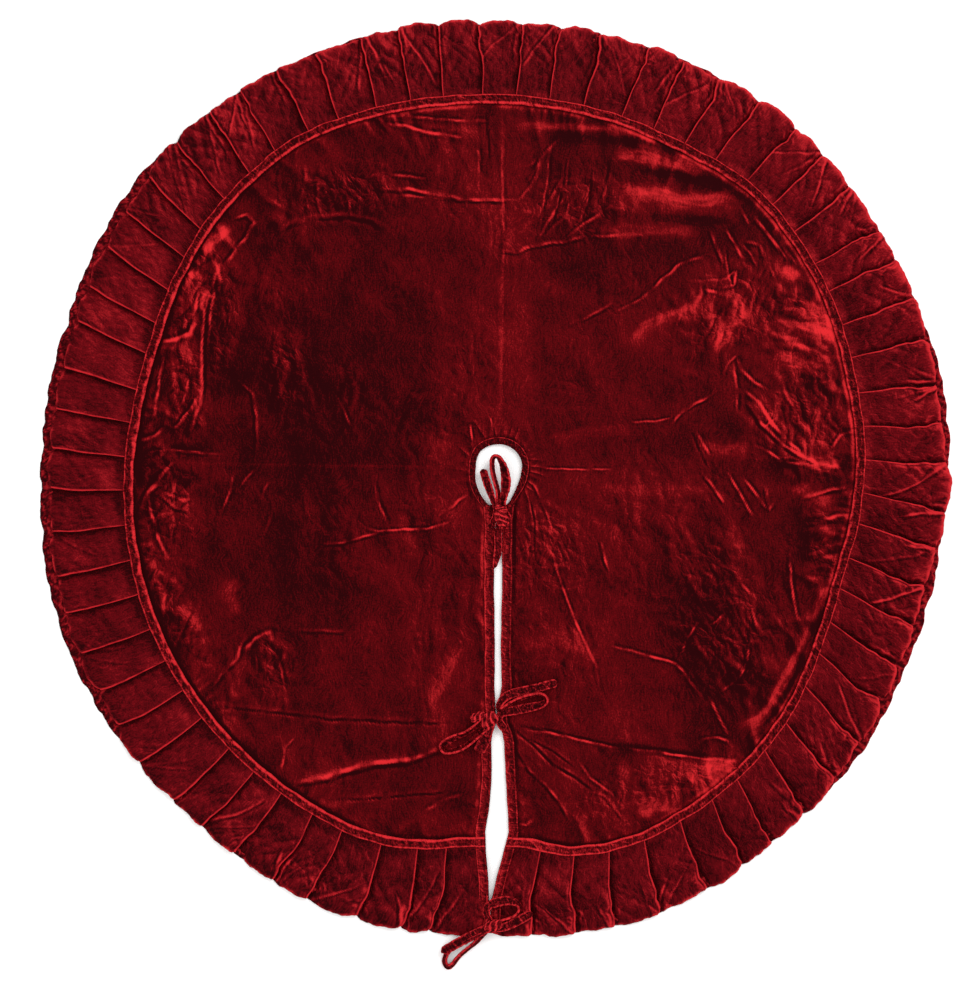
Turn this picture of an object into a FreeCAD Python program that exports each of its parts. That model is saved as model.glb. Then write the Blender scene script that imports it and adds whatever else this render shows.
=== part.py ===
import FreeCAD, Part
import Sketcher

import math
import os

from FreeCAD import Placement, Rotation, Vector

# A round velvet tree skirt laid flat. The origin is the centre of the trunk hole on the underside,
# +Z is up and the slit runs from the hole to the hem along -Y. The cloth is four quarters, which fold
# on three creases, so each quarter of each layer is a piece of its own.

SIZES = {
    "skirt_radius": 609.6,          # hem, 48 inches across
    "seam_radius": 502.0,           # outer edge of the panel, where the ruffle starts
    "hole_radius": 31.5,            # trunk hole inside its binding
    "slit_width": 12.0,             # gap between the two bound edges
    "lining_thickness": 1.5,
    "velvet_thickness": 3.5,        # top cloth with its crush wrinkles
    "binding_thickness": 1.5,
    "binding_width": 12.0,
    "hole_binding_width": 8.0,
    "band_width": 12.0,
    "band_thickness": 2.0,
    "seam_allowance": 10.0,         # ruffle edge caught under the trim band
    "allowance_thickness": 1.0,
    "ruffle_height": 12.0,          # crown of the pleats
    "sewing_gap": 0.3,              # clear space between neighbouring pieces
    "tie_width": 10.0,
    "tie_thickness": 3.5,
    "quarter_angle": 90.0,
}

QUARTERS = {"back_right": 0.0, "back_left": 90.0, "front_left": 180.0, "front_right": 270.0}
SIDES = {"left": -1, "right": 1}

# The ruffle's section from the floor at the hem over its crown to the seam, as shares of its width
# inwards from the hem and shares of its height.
RUFFLE_CROWN = [
    (0.05, 0), (0, 0.2), (0, 0.45), (0.08, 0.75), (0.25, 0.95), (0.45, 1), (0.7, 0.95), (0.9, 0.7),
]
END_HEM_RISE = 0.8                  # height of the hems at the ruffle's ends, as a share of its crown

# Routes of the six ties, hand laid: each leaves its slit edge, makes its loop of the bow and ends in a
# free tail. Heights are those of the middle of the strip.
PANEL_TIE_HEIGHT = 9.0              # lying on the slit bindings
HEM_TIE_HEIGHT = 14.6               # lying on the ruffle
HEM_DROP_START = -600.0             # beyond this line the left hem tie slopes down to the floor
HEM_DROP_SLOPE = 0.17

TIE_ROUTES = {
    "tie_hole_right": [
        (22, -74), (19, -53), (18.5, -31), (18.5, -9), (18, 8), (5, 15.5), (-7.5, 7), (-7, -9),
        (-5, -24), (6.5, -37.5), (6, -56), (7.5, -76), (6, -96), (3, -112), (-2, -127),
    ],
    "tie_hole_left": [(-18, -92), (-14, -74), (-17, -55), (-20, -37), (-24.5, -20), (-24, -4)],
    "tie_middle_right": [
        (7, -347), (24, -338), (51, -335), (68, -331), (73.5, -318.5), (65, -307.5), (46, -311),
        (14, -314), (4.5, -304), (9, -291), (27, -290), (50, -285), (79, -280),
    ],
    "tie_middle_left": [
        (-8, -320), (-24, -330), (-44, -339), (-63, -349), (-81, -353.5), (-83.5, -367), (-72, -375),
        (-53, -366.5), (-35, -360.5), (-19, -353), (-7.5, -364.5), (-13, -380), (-24, -400),
    ],
    "tie_hem_right": [
        (6, -551), (22, -546), (38, -549), (45, -561), (37, -574), (18, -573), (6, -583), (12, -597),
        (32, -598), (58, -590),
    ],
    "tie_hem_left": [
        (-10, -588), (-7.5, -605), (-9, -622), (-22, -635), (-36, -648), (-51, -661), (-64, -656),
        (-66, -642), (-51, -633), (-36, -627), (-24, -620), (-23.5, -607), (-35, -600.5), (-52, -608),
        (-67, -618), (-80, -625),
    ],
}
RUN_SHARE = 0.45                    # share of the shorter run that an arc uses on each side of its point


def make_sheet(doc):
    """Driving dimensions in millimetres and degrees, one aliased cell each."""
    sheet = doc.addObject("Spreadsheet::Sheet", "Sizes")
    for row, (alias, value) in enumerate(SIZES.items(), start=1):
        sheet.set(f"A{row}", alias)
        sheet.set(f"B{row}", str(value))
        sheet.setAlias(f"B{row}", alias)
    doc.recompute()
    return sheet


def named(expression):
    """An expression over sheet aliases, written with the sheet's name in front of each alias."""
    for alias in sorted(SIZES, key=len, reverse=True):
        expression = expression.replace(f"<{alias}>", f"Sizes.{alias}")
    return expression


def origin_plane(body, role):
    """One of a body's own origin planes or axes."""
    return next(item for item in body.Origin.OriginFeatures if item.Role == role)


def profile_sketch(body, plane, corners):
    """A closed polygon whose corners are placed by expressions from the sketch's own origin."""
    sketch = body.newObject("Sketcher::SketchObject", body.Name + "_profile")
    sketch.AttachmentSupport = [(origin_plane(body, plane), "")]
    sketch.MapMode = "FlatFace"
    count = len(corners)
    around = [(math.cos(2 * math.pi * i / count), math.sin(2 * math.pi * i / count)) for i in range(count)]
    for i in range(count):
        start, end = around[i], around[(i + 1) % count]
        sketch.addGeometry(Part.LineSegment(Vector(*start, 0), Vector(*end, 0)), False)
    for i in range(count):
        sketch.addConstraint(Sketcher.Constraint("Coincident", i, 2, (i + 1) % count, 1))
    for i, (across, upward) in enumerate(corners):
        for kind, size, value in (("DistanceX", across, around[i][0]), ("DistanceY", upward, around[i][1])):
            index = sketch.addConstraint(Sketcher.Constraint(kind, -1, 1, i, 1, value))
            sketch.setExpression(f"Constraints[{index}]", named(size))
    return sketch


def quarter_ring(doc, label, corners, start_angle):
    """A quarter of a ring: a profile of radii and heights turned about Z from the quarter's first edge."""
    body = doc.addObject("PartDesign::Body", label)
    body.Label = label
    sketch = profile_sketch(body, "XZ_Plane", corners)
    ring = body.newObject("PartDesign::Revolution", label + "_turned")
    ring.Profile = sketch
    ring.ReferenceAxis = (sketch, ["V_Axis"])
    ring.setExpression("Angle", "Sizes.quarter_angle")
    doc.recompute()
    body.Placement = Placement(Vector(), Rotation(Vector(0, 0, 1), start_angle))
    return body


def slit_tool(doc, name, half_width):
    """The space of the slit, taken out of every front piece."""
    tool = doc.addObject("Part::Box", name)
    tool.setExpression("Width", "2 * Sizes.skirt_radius")
    tool.setExpression("Length", named(f"2 * ({half_width})"))
    tool.setExpression("Height", "4 * Sizes.ruffle_height")
    tool.setExpression("Placement.Base.x", named(f"-({half_width})"))
    tool.setExpression("Placement.Base.y", "-2 * Sizes.skirt_radius")
    tool.setExpression("Placement.Base.z", "-Sizes.ruffle_height")
    return tool


def layer(doc, name, corners, slit):
    """The four quarters of one round layer, the front two cut back from the slit."""
    pieces = []
    for quarter, start_angle in QUARTERS.items():
        label = f"{name}_{quarter}"
        if not quarter.startswith("front"):
            pieces.append(quarter_ring(doc, label, corners, start_angle))
            continue
        whole = quarter_ring(doc, label + "_uncut", corners, start_angle)
        piece = doc.addObject("Part::Cut", label)
        piece.Base = whole
        piece.Tool = slit
        piece.Label = label
        pieces.append(piece)
    return pieces


def lining(doc, slit):
    corners = [
        ("<hole_radius> + <hole_binding_width> + <sewing_gap>", "0"),
        ("<seam_radius>", "0"),
        ("<seam_radius>", "<lining_thickness>"),
        ("<hole_radius> + <hole_binding_width> + <sewing_gap>", "<lining_thickness>"),
    ]
    return layer(doc, "lining", corners, slit)


def top_panel(doc, slit):
    panel_top = "<lining_thickness> + <velvet_thickness>"
    corners = [
        ("<hole_radius> + <hole_binding_width> + <sewing_gap>", "<lining_thickness>"),
        ("<seam_radius>", "<lining_thickness>"),
        ("<seam_radius>", panel_top),
        ("<hole_radius> + <hole_binding_width> + <sewing_gap>", panel_top),
    ]
    return layer(doc, "top_panel", corners, slit)


def ruffle(doc, slit):
    """Pleated border: a thin allowance on the panel's edge, then the puffed cloth with a rolled hem."""
    panel_top = "<lining_thickness> + <velvet_thickness>"
    allowance_top = f"{panel_top} + <allowance_thickness>"
    start = "<seam_radius> + <sewing_gap>"
    width = "(<skirt_radius> - <seam_radius>)"
    crown = [(f"<skirt_radius> - {inward} * {width}", f"{rise} * <ruffle_height>")
             for inward, rise in RUFFLE_CROWN]
    corners = [
        ("<seam_radius> - <seam_allowance>", panel_top),
        (start, panel_top),
        (start, "0"),
        *crown,
        (f"{start} + <sewing_gap>", allowance_top),
        ("<seam_radius> - <seam_allowance>", allowance_top),
    ]
    return layer(doc, "ruffle", corners, slit)


def trim_band(doc, slit):
    """Flat strip stitched over the ruffle's allowance."""
    low = "<lining_thickness> + <velvet_thickness> + <allowance_thickness>"
    corners = [
        ("<seam_radius> - <band_width>", low),
        ("<seam_radius>", low),
        ("<seam_radius>", f"{low} + <band_thickness>"),
        ("<seam_radius> - <band_width>", f"{low} + <band_thickness>"),
    ]
    return layer(doc, "trim_band", corners, slit)


def hole_binding(doc, slit):
    """Strip folded over the edge of the trunk hole, with the edge of the panel inside it."""
    binding_top = "<lining_thickness> + <velvet_thickness> + <binding_thickness>"
    corners = [
        ("<hole_radius>", "0"),
        ("<hole_radius> + <hole_binding_width>", "0"),
        ("<hole_radius> + <hole_binding_width>", binding_top),
        ("<hole_radius>", binding_top),
    ]
    return layer(doc, "hole_binding", corners, slit)


def strip(doc, label, plane, corners, length, start):
    """A straight strip along the slit: a profile across the slit edge, padded towards the hem."""
    body = doc.addObject("PartDesign::Body", label)
    body.Label = label
    sketch = profile_sketch(body, plane, corners)
    pad = body.newObject("PartDesign::Pad", label + "_pad")
    pad.Profile = sketch
    pad.setExpression("Length", named(length))
    doc.recompute()
    body.setExpression("Placement.Base.y", named(start))
    return body


def mirrored(corners, side):
    """A profile for one side of the slit: the left side has its distances negated."""
    sign = "-1" if side < 0 else "1"
    return [(f"{sign} * ({across})", upward) for across, upward in corners]


def slit_binding(doc, word, side):
    """Strip folded over one slit edge of the panel, from the hole binding to the trim band."""
    panel_top = "<lining_thickness> + <velvet_thickness>"
    half = "<slit_width> / 2"
    corners = [
        (half, "0"),
        (f"{half} + <binding_thickness>", "0"),
        (f"{half} + <binding_thickness>", panel_top),
        (f"{half} + <binding_width>", panel_top),
        (f"{half} + <binding_width>", f"{panel_top} + <binding_thickness>"),
        (half, f"{panel_top} + <binding_thickness>"),
    ]
    first = "(<hole_radius> + <hole_binding_width> + <sewing_gap>)"
    last = "(<seam_radius> - <band_width> - 2 * <sewing_gap>)"
    return strip(doc, f"slit_binding_{word}", "XZ_Plane", mirrored(corners, side),
                 f"{last} - {first}", f"-{first}")


def ruffle_end_hem(doc, word, side):
    """Strip that closes the ruffle's end at the slit."""
    half = "<slit_width> / 2"
    corners = [
        (half, "0"),
        (f"{half} + <binding_width>", "0"),
        (f"{half} + <binding_width>", f"{END_HEM_RISE} * <ruffle_height>"),
        (half, f"{END_HEM_RISE} * <ruffle_height>"),
    ]
    first = "(<seam_radius> + 2 * <sewing_gap>)"
    return strip(doc, f"ruffle_end_hem_{word}", "XZ_Plane", mirrored(corners, side),
                 f"<skirt_radius> - {first} - <sewing_gap>", f"-{first}")


def tie_points(label):
    """A tie's route in space: flat on the cloth, or sloping to the floor past the hem."""
    if label == "tie_hem_left":
        return [Vector(x, y, HEM_TIE_HEIGHT + HEM_DROP_SLOPE * (y - HEM_DROP_START))
                for x, y in TIE_ROUTES[label]]
    height = HEM_TIE_HEIGHT if "hem" in label else PANEL_TIE_HEIGHT
    return [Vector(x, y, height) for x, y in TIE_ROUTES[label]]


def rounded_wire(points):
    """Straight runs joined by tangent arcs, each as large as its two runs allow, and the arcs' radii."""
    edges = []
    radii = []
    last = points[0]
    for before, corner, after in zip(points, points[1:], points[2:]):
        run_in = corner - before
        run_out = after - corner
        reach = RUN_SHARE * min(run_in.Length, run_out.Length)
        half_turn = run_in.getAngle(run_out) / 2
        radius = reach / math.tan(half_turn)
        way_in = Vector(run_in).normalize()
        way_out = Vector(run_out).normalize()
        arc_start = corner - way_in * reach
        arc_end = corner + way_out * reach
        inward = (way_out - way_in).normalize()
        middle = corner + inward * (radius / math.cos(half_turn) - radius)
        edges.append(Part.LineSegment(last, arc_start).toShape())
        edges.append(Part.Arc(arc_start, middle, arc_end).toShape())
        radii.append(radius)
        last = arc_end
    edges.append(Part.LineSegment(last, points[-1]).toShape())
    return Part.Wire(edges), radii


def tie(doc, sheet, label):
    """One free tie: a flat strip swept along its route, lying in the plane of the route."""
    points = tie_points(label)
    path, radii = rounded_wire(points)
    along = (points[1] - points[0]).normalize()
    up = (points[2] - points[1]).cross(points[3] - points[2]).normalize()
    up = up if up.z > 0 else up * -1
    across = along.cross(up).normalize()
    half_width = sheet.tie_width / 2
    half_thickness = sheet.tie_thickness / 2
    section = Part.makePolygon([
        points[0] + across * (u * half_width) + up * (v * half_thickness)
        for u, v in ((-1, -1), (1, -1), (1, 1), (-1, 1), (-1, -1))
    ])
    sweep = Part.BRepOffsetAPI.MakePipeShell(path)
    sweep.setBiNormalMode(up)
    sweep.add(section)
    sweep.build()
    sweep.makeSolid()
    piece = doc.addObject("Part::Feature", label)
    piece.Label = label
    piece.Shape = sweep.shape()
    piece.Placement = Placement()
    expected = sheet.tie_width * sheet.tie_thickness * path.Length
    print(f"{label}: length {path.Length:.1f} mm, radii " + " ".join(f"{r:.1f}" for r in radii))
    print(f"    volume {piece.Shape.Volume:.0f} mm3, section x length {expected:.0f} mm3")
    return piece


def check(doc, pieces):
    """Stop if any object failed or any piece is not a valid solid."""
    for item in doc.Objects:
        if "Invalid" in item.State or "Error" in item.State:
            raise RuntimeError(f"{item.Label} failed: {item.State}")
    for piece in pieces:
        shape = piece.Shape
        if shape.isNull() or not shape.isValid() or not shape.Solids:
            raise RuntimeError(f"{piece.Label} is not a valid solid")


def export(pieces):
    os.makedirs("parts", exist_ok=True)
    for piece in pieces:
        piece.Shape.exportStep(f"parts/{piece.Label}.step")


def build():
    doc = FreeCAD.newDocument("TreeSkirt")
    sheet = make_sheet(doc)
    finished_slit = slit_tool(doc, "slit_space", "<slit_width> / 2")
    bound_slit = slit_tool(doc, "bound_slit_space", "<slit_width> / 2 + <binding_thickness> + <sewing_gap>")
    hemmed_slit = slit_tool(doc, "hemmed_slit_space", "<slit_width> / 2 + <binding_width> + <sewing_gap>")
    pieces = lining(doc, bound_slit)
    pieces += top_panel(doc, bound_slit)
    pieces += ruffle(doc, hemmed_slit)
    pieces += trim_band(doc, finished_slit)
    pieces += hole_binding(doc, finished_slit)
    for word, side in SIDES.items():
        pieces.append(slit_binding(doc, word, side))
        pieces.append(ruffle_end_hem(doc, word, side))
    pieces += [tie(doc, sheet, label) for label in TIE_ROUTES]
    doc.recompute()
    check(doc, pieces)
    export(pieces)


build()
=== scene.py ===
import math

import bpy
import numpy as np
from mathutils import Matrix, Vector


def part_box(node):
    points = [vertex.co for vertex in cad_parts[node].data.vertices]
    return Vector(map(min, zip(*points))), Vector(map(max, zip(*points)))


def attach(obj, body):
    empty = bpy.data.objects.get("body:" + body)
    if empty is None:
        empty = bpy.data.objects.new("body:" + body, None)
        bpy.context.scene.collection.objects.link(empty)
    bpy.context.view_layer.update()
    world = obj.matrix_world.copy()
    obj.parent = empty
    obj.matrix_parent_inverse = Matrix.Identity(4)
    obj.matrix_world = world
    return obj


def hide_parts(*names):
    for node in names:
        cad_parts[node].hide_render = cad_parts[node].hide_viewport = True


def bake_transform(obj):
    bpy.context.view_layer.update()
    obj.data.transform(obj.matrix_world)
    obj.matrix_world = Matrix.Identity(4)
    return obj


# The looks of a velvet tree skirt laid flat: three crushed panels inside a pleated border, with bound
# edges, a slit from the trunk hole to the hem along -Y and three tied bows. Everything is in metres.

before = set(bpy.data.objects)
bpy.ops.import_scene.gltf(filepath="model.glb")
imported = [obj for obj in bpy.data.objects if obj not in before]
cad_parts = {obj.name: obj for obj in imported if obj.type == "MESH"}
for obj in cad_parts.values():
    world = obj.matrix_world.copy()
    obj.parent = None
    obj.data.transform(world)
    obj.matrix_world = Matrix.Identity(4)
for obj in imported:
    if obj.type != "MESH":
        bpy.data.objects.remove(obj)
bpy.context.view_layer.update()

# ---------------------------------------------------------------- sizes

PANEL_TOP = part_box("top_panel_back_left")[1].z
BAND_WIDTH = 0.012
HOLE_BINDING_WIDTH = 0.0085
SLIT_BINDING_WIDTH = 0.0125
UNDERLAP = 0.003                # how far the panel goes on under the band and the hole's binding
TO_LIGHT = (0.8, 0.6, 0.0)      # the way a slope faces where the painted highlight is brightest

# Radii by angle, anticlockwise from +X in degrees, of the cloth as it lies: (angle, millimetres).
BAND_RADIUS = [
    (0, 486), (15, 488), (30, 500), (48, 508), (60, 497), (85, 496), (100, 501), (122, 518), (140, 510),
    (160, 492), (172, 492), (190, 501), (210, 509), (235, 516), (252, 522), (260, 514), (266, 501),
    (272, 496), (280, 522), (290, 529), (310, 516), (320, 505), (330, 488), (342, 477), (352, 482),
]
HEM_RADIUS = [
    (0, 601), (30, 599), (50, 604), (80, 596), (92, 595), (110, 607), (140, 617), (160, 605), (180, 606),
    (200, 618), (230, 619), (250, 627), (262, 622), (270, 614), (280, 625), (290, 629), (310, 612),
    (320, 613), (332, 601), (350, 595),
]
HOLE_RADIUS = [
    (0, 31.5), (45, 34), (90, 35), (135, 35), (180, 31), (200, 32), (220, 35), (238, 38.5), (254, 44),
    (264, 49), (274, 47), (286, 38), (300, 33), (320, 30.5), (342, 30),
]
# The slit's two edges by distance from the centre: (distance, left x, right x), millimetres.
SLIT_EDGES = [
    (30, -10, 11), (50, -7.5, 7), (70, -5.5, 5.2), (106, -6.6, 4.8), (144, -6.9, 4.9), (231, -5.7, 3.0),
    (286, -6.2, 4.2), (318, -4.8, -1.5), (334, -4.2, -1.2), (348, -8.6, 5), (361, -10.3, 7.3),
    (411, -9.9, 9.8), (455, -14, 12.5), (480, -18.6, 13.4), (505, -17.5, 7), (533, -15.1, -0.4),
    (551, -13.9, -5), (570, -13.6, -9.4), (592, -15.5, -10.5), (612, -19.5, -13.5), (640, -22, -15),
]
CUTS = (45, 135)        # the cloth is three pieces with their edges at these angles
REGIONS = {
    "right": {"bodies": ("back_right", "front_right"), "crease": Vector((0, 1, 0))},
    "back": {"bodies": ("back_left", "back_right"), "crease": Vector((-1, 0, 0))},
    "left": {"bodies": ("back_left", "front_left"), "crease": Vector((0, 1, 0))},
}


# ---------------------------------------------------------------- shape helpers

def around(table, degrees):
    """A smooth closed curve through (angle, millimetres) pairs, in metres."""
    angles, sizes = np.array(table, float).T
    fine = np.arange(0, 360, 0.5)
    values = np.interp(fine, angles, sizes / 1000, period=360)
    reach = np.arange(-16, 17)
    weights = np.exp(-(reach / 7.0) ** 2)
    values = sum(w * np.roll(values, k) for k, w in zip(reach, weights)) / weights.sum()
    return np.interp(degrees, fine, values, period=360)


def slit_edge(distance, side):
    """x of the slit's left (side -1) or right (side 1) edge at a distance from the centre."""
    rows = np.array(SLIT_EDGES) / 1000
    return np.interp(distance, rows[:, 0], rows[:, 1 if side < 0 else 2])


def ring_base(steps):
    """Base angles all round the ring, from one edge of the slit to the other, and the columns of its cuts."""
    return np.linspace(-90, 270, steps + 1)[None, :], [round((cut + 90) / 360 * steps) for cut in CUTS]


def ring_angle(base, radius, inset):
    """The real angle of a ring point whose base angle is given, with both ends inset from the slit."""
    right = -90 + np.degrees(np.arcsin((slit_edge(radius, 1) + inset) / radius))
    left = 270 + np.degrees(np.arcsin((slit_edge(radius, -1) - inset) / radius))
    span = 90 + CUTS[0]
    turned = np.where(base < CUTS[0], CUTS[0] - (CUTS[0] - base) * (CUTS[0] - right) / span, base)
    return np.where(base > CUTS[1], CUTS[1] + (base - CUTS[1]) * (left - CUTS[1]) / span, turned)


def ring_points(base, radius, z, inset):
    """Points of a ring of cloth at base angles, radii and heights."""
    turn = np.radians(ring_angle(base, radius, inset))
    return np.stack([radius * np.cos(turn), radius * np.sin(turn), z + 0 * radius], axis=-1)


def ease(t):
    """A smooth step from 0 to 1."""
    t = np.clip(t, 0, 1)
    return t * t * (3 - 2 * t)


def noise(x, y, seed):
    """Gradient noise, about -1 to 1, with features about one unit across."""
    i, j = np.floor(x).astype(np.int64), np.floor(y).astype(np.int64)
    u, v = x - i, y - j

    def corner(di, dj):
        h = ((i + di) * 374761393 + (j + dj) * 668265263 + seed * 97531) & 0xFFFFFFFF
        h = ((h ^ (h >> 13)) * 1274126177) & 0xFFFFFFFF
        turn = (h ^ (h >> 16)) * (2 * math.pi / 0xFFFFFFFF)
        return np.cos(turn) * (u - di) + np.sin(turn) * (v - dj)

    fu = u ** 3 * (u * (6 * u - 15) + 10)
    fv = v ** 3 * (v * (6 * v - 15) + 10)
    low = corner(0, 0) * (1 - fu) + corner(1, 0) * fu
    high = corner(0, 1) * (1 - fu) + corner(1, 1) * fu
    return 1.5 * (low * (1 - fv) + high * fv)


def layered(x, y, seed):
    """Noise with two finer layers on it."""
    return sum(noise(x * 2 ** k, y * 2 ** k, seed + k) / 2 ** k for k in range(3))


def ridges(x, y, seed):
    """Sharp crests where the noise crosses zero, 0 to 1."""
    return np.clip(1 - 2.2 * np.abs(noise(x, y, seed)), 0, 1) ** 2


def section_of(rows):
    """A strip's section: the places across it as given, and the heights in metres, as columns."""
    return np.array([a for a, _ in rows])[:, None], np.array([h for _, h in rows])[:, None] / 1000


def normals_of(points):
    """Unit normals of a grid of points."""
    across = np.gradient(points, axis=1)
    along = np.gradient(points, axis=0)
    normal = np.cross(along, across)
    length = np.linalg.norm(normal, axis=-1, keepdims=True)
    return normal / np.maximum(length, 1e-12)


def link(name, data):
    """A new object in the scene."""
    made = bpy.data.objects.new(name, data)
    bpy.context.scene.collection.objects.link(made)
    return made


def dressed(name, mesh, uv, painted_light, crush, material):
    """A cloth object from a bare mesh: smooth faces, flat UVs, the painted light and crush, and a material.
    """
    mesh.polygons.foreach_set("use_smooth", np.ones(len(mesh.polygons), bool))
    corners = np.zeros(len(mesh.loops), np.int32)
    mesh.loops.foreach_get("vertex_index", corners)
    layer = mesh.uv_layers.new(name="cloth")
    layer.data.foreach_set("uv", uv.reshape(-1, 2)[corners].reshape(-1).astype(np.float32))
    for painted, values in (("painted_light", painted_light), ("crush", crush)):
        attribute = mesh.attributes.new(painted, "FLOAT", "POINT")
        attribute.data.foreach_set("value", np.ascontiguousarray(values, np.float32).reshape(-1))
    mesh.materials.append(material)
    return link(name, mesh)


def grid_object(name, points, normals, uv, painted_light, material, crush):
    """A sheet of quads through a grid of points, with its own normals."""
    rows, cols = points.shape[:2]
    index = np.arange(rows * cols).reshape(rows, cols)
    quads = np.stack([index[:-1, :-1], index[1:, :-1], index[1:, 1:], index[:-1, 1:]], axis=-1)
    corners = quads.reshape(-1)
    count = len(corners) // 4
    mesh = bpy.data.meshes.new(name)
    mesh.vertices.add(rows * cols)
    mesh.vertices.foreach_set("co", points.reshape(-1).astype(np.float32))
    mesh.loops.add(len(corners))
    mesh.loops.foreach_set("vertex_index", corners.astype(np.int32))
    mesh.polygons.add(count)
    mesh.polygons.foreach_set("loop_start", np.arange(0, 4 * count, 4, dtype=np.int32))
    mesh.update(calc_edges=True)
    piece = dressed(name, mesh, uv, painted_light, crush, material)
    mesh.normals_split_custom_set_from_vertices(normals.reshape(-1, 3).tolist())
    return piece


def ring_pieces(name, points, uv, painted_light, material, cuts, crush=0.0):
    """The three pieces of one ring of cloth, cut at two columns, with the ring's normals."""
    normals = normals_of(points)
    crush = crush + 0 * painted_light
    first, second = cuts
    spans = {"right": (0, first), "back": (first, second), "left": (second, points.shape[1] - 1)}
    made = {}
    for region, (start, end) in spans.items():
        part = np.s_[:, start:end + 1]
        made[region] = grid_object(f"{name}_{region}", points[part], normals[part], uv[part], painted_light[part],
                                   material, crush[part])
    return made


def bend(pieces, nodes=None):
    """Bake each region's piece in place, and hide the CAD pieces that it stands for."""
    for region, piece in pieces.items():
        bodies = REGIONS[region]["bodies"]
        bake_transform(piece)
        if nodes:
            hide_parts(*(f"{nodes}_{body}" for body in bodies))


# ---------------------------------------------------------------- materials

class Graph:
    """A material's node tree, with short calls for its nodes."""

    def __init__(self, name):
        self.material = bpy.data.materials.new(name)
        self.material.use_nodes = True
        self.tree = self.material.node_tree
        self.tree.nodes.clear()

    def add(self, kind, inputs=None, **settings):
        node = self.tree.nodes.new("ShaderNode" + kind)
        for key, value in settings.items():
            setattr(node, key, value)
        for key, value in (inputs or {}).items():
            if isinstance(value, bpy.types.NodeSocket):
                self.tree.links.new(value, node.inputs[key])
            else:
                node.inputs[key].default_value = value
        return node

    def math(self, operation, *values, clamp=False):
        return self.add("Math", dict(enumerate(values)), operation=operation, use_clamp=clamp).outputs[0]

    def plus(self, total, term, gain, clamp=False):
        """The total with gain times the term added to it."""
        return self.math("ADD", total, self.math("MULTIPLY", term, gain), clamp=clamp)

    def vector(self, operation, *values, output="Vector"):
        return self.add("VectorMath", dict(enumerate(values)), operation=operation).outputs[output]

    def noise(self, vector, scale, detail, output="Fac"):
        inputs = {"Vector": vector, "Scale": scale, "Detail": detail}
        return self.add("TexNoise", inputs).outputs[output]

    def centred(self, value):
        return self.math("SUBTRACT", value, 0.5)

    def ramp(self, factor, stops):
        node = self.add("ValToRGB", {"Fac": factor})
        ramp = node.color_ramp
        while len(ramp.elements) < len(stops):
            ramp.elements.new(0.5)
        for element, (position, colour) in zip(ramp.elements, stops):
            element.position = position
            element.color = (*colour, 1)
        return node.outputs["Color"]

    def finish(self, shader):
        output = self.add("OutputMaterial")
        self.tree.links.new(shader.outputs[0], output.inputs["Surface"])
        return self.material


def velvet(name, dark, middle, bright, crush=28.0, rumple=0.07, grain=0.60):
    """Crushed velvet coloured with painted light: the mesh's painted light, brighter where its bumps turn it
    to TO_LIGHT or tilt it, darker where they turn it away; streaked along Y.
    """
    g = Graph(name)
    uv = g.add("UVMap", uv_map="cloth").outputs[0]
    painted_light = g.add("Attribute", attribute_name="painted_light", attribute_type="GEOMETRY").outputs["Fac"]
    wrinkled = g.add("Attribute", attribute_name="crush", attribute_type="GEOMETRY").outputs["Fac"]

    # Facets of three sizes, the cloth's streaks and its single tufts.
    drift = g.vector("SUBTRACT", g.noise(uv, crush * 0.7, 2.0, "Color"), (0.5, 0.5, 0.5))
    warped = g.vector("ADD", uv, g.vector("MULTIPLY", drift, (1.1 / crush,) * 3))
    height = 0.0
    for scale, share in ((crush, 0.34), (crush * 2.7, 0.28), (crush * 7.0, 0.14)):
        facet = g.math("ABSOLUTE", g.centred(g.noise(warped, scale, 1.0)))
        height = g.plus(height, facet, share / scale)
    height = g.math("MULTIPLY", height, g.math("ADD", wrinkled, rumple))
    combed = g.add("Mapping", {"Vector": warped, "Scale": (560.0, 90.0, 1.0)}).outputs[0]
    streaks = g.noise(combed, 1.0, 3.0)
    tufts = g.noise(uv, 460.0, 3.0)
    height = g.plus(g.plus(height, streaks, 0.00016), tufts, 0.00010)
    bump = g.add("Bump", {"Height": height, "Strength": 1.0, "Distance": 1.0}).outputs[0]

    # Painted highlight and shade: how far all this turns the surface to TO_LIGHT, and how far it tilts it.
    turned = g.vector("SUBTRACT", bump, g.add("NewGeometry").outputs["Normal"])
    level = g.plus(painted_light, g.vector("DOT_PRODUCT", turned, TO_LIGHT, output="Value"), 0.9)
    level = g.plus(level, g.vector("LENGTH", turned, output="Value"), 0.5)
    level = g.plus(level, g.centred(streaks), grain)
    level = g.plus(level, g.centred(tufts), grain, clamp=True)
    colour = g.ramp(level, [(0.0, dark), (0.36, middle), (1.0, bright)])
    return g.finish(g.add("BsdfPrincipled", {
        "Base Color": colour, "Roughness": 0.65, "Specular IOR Level": 0.02, "Normal": bump,
        "Sheen Weight": 0.08, "Sheen Roughness": 0.3, "Sheen Tint": (1.0, 0.03, 0.04, 1.0),
    }))


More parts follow.
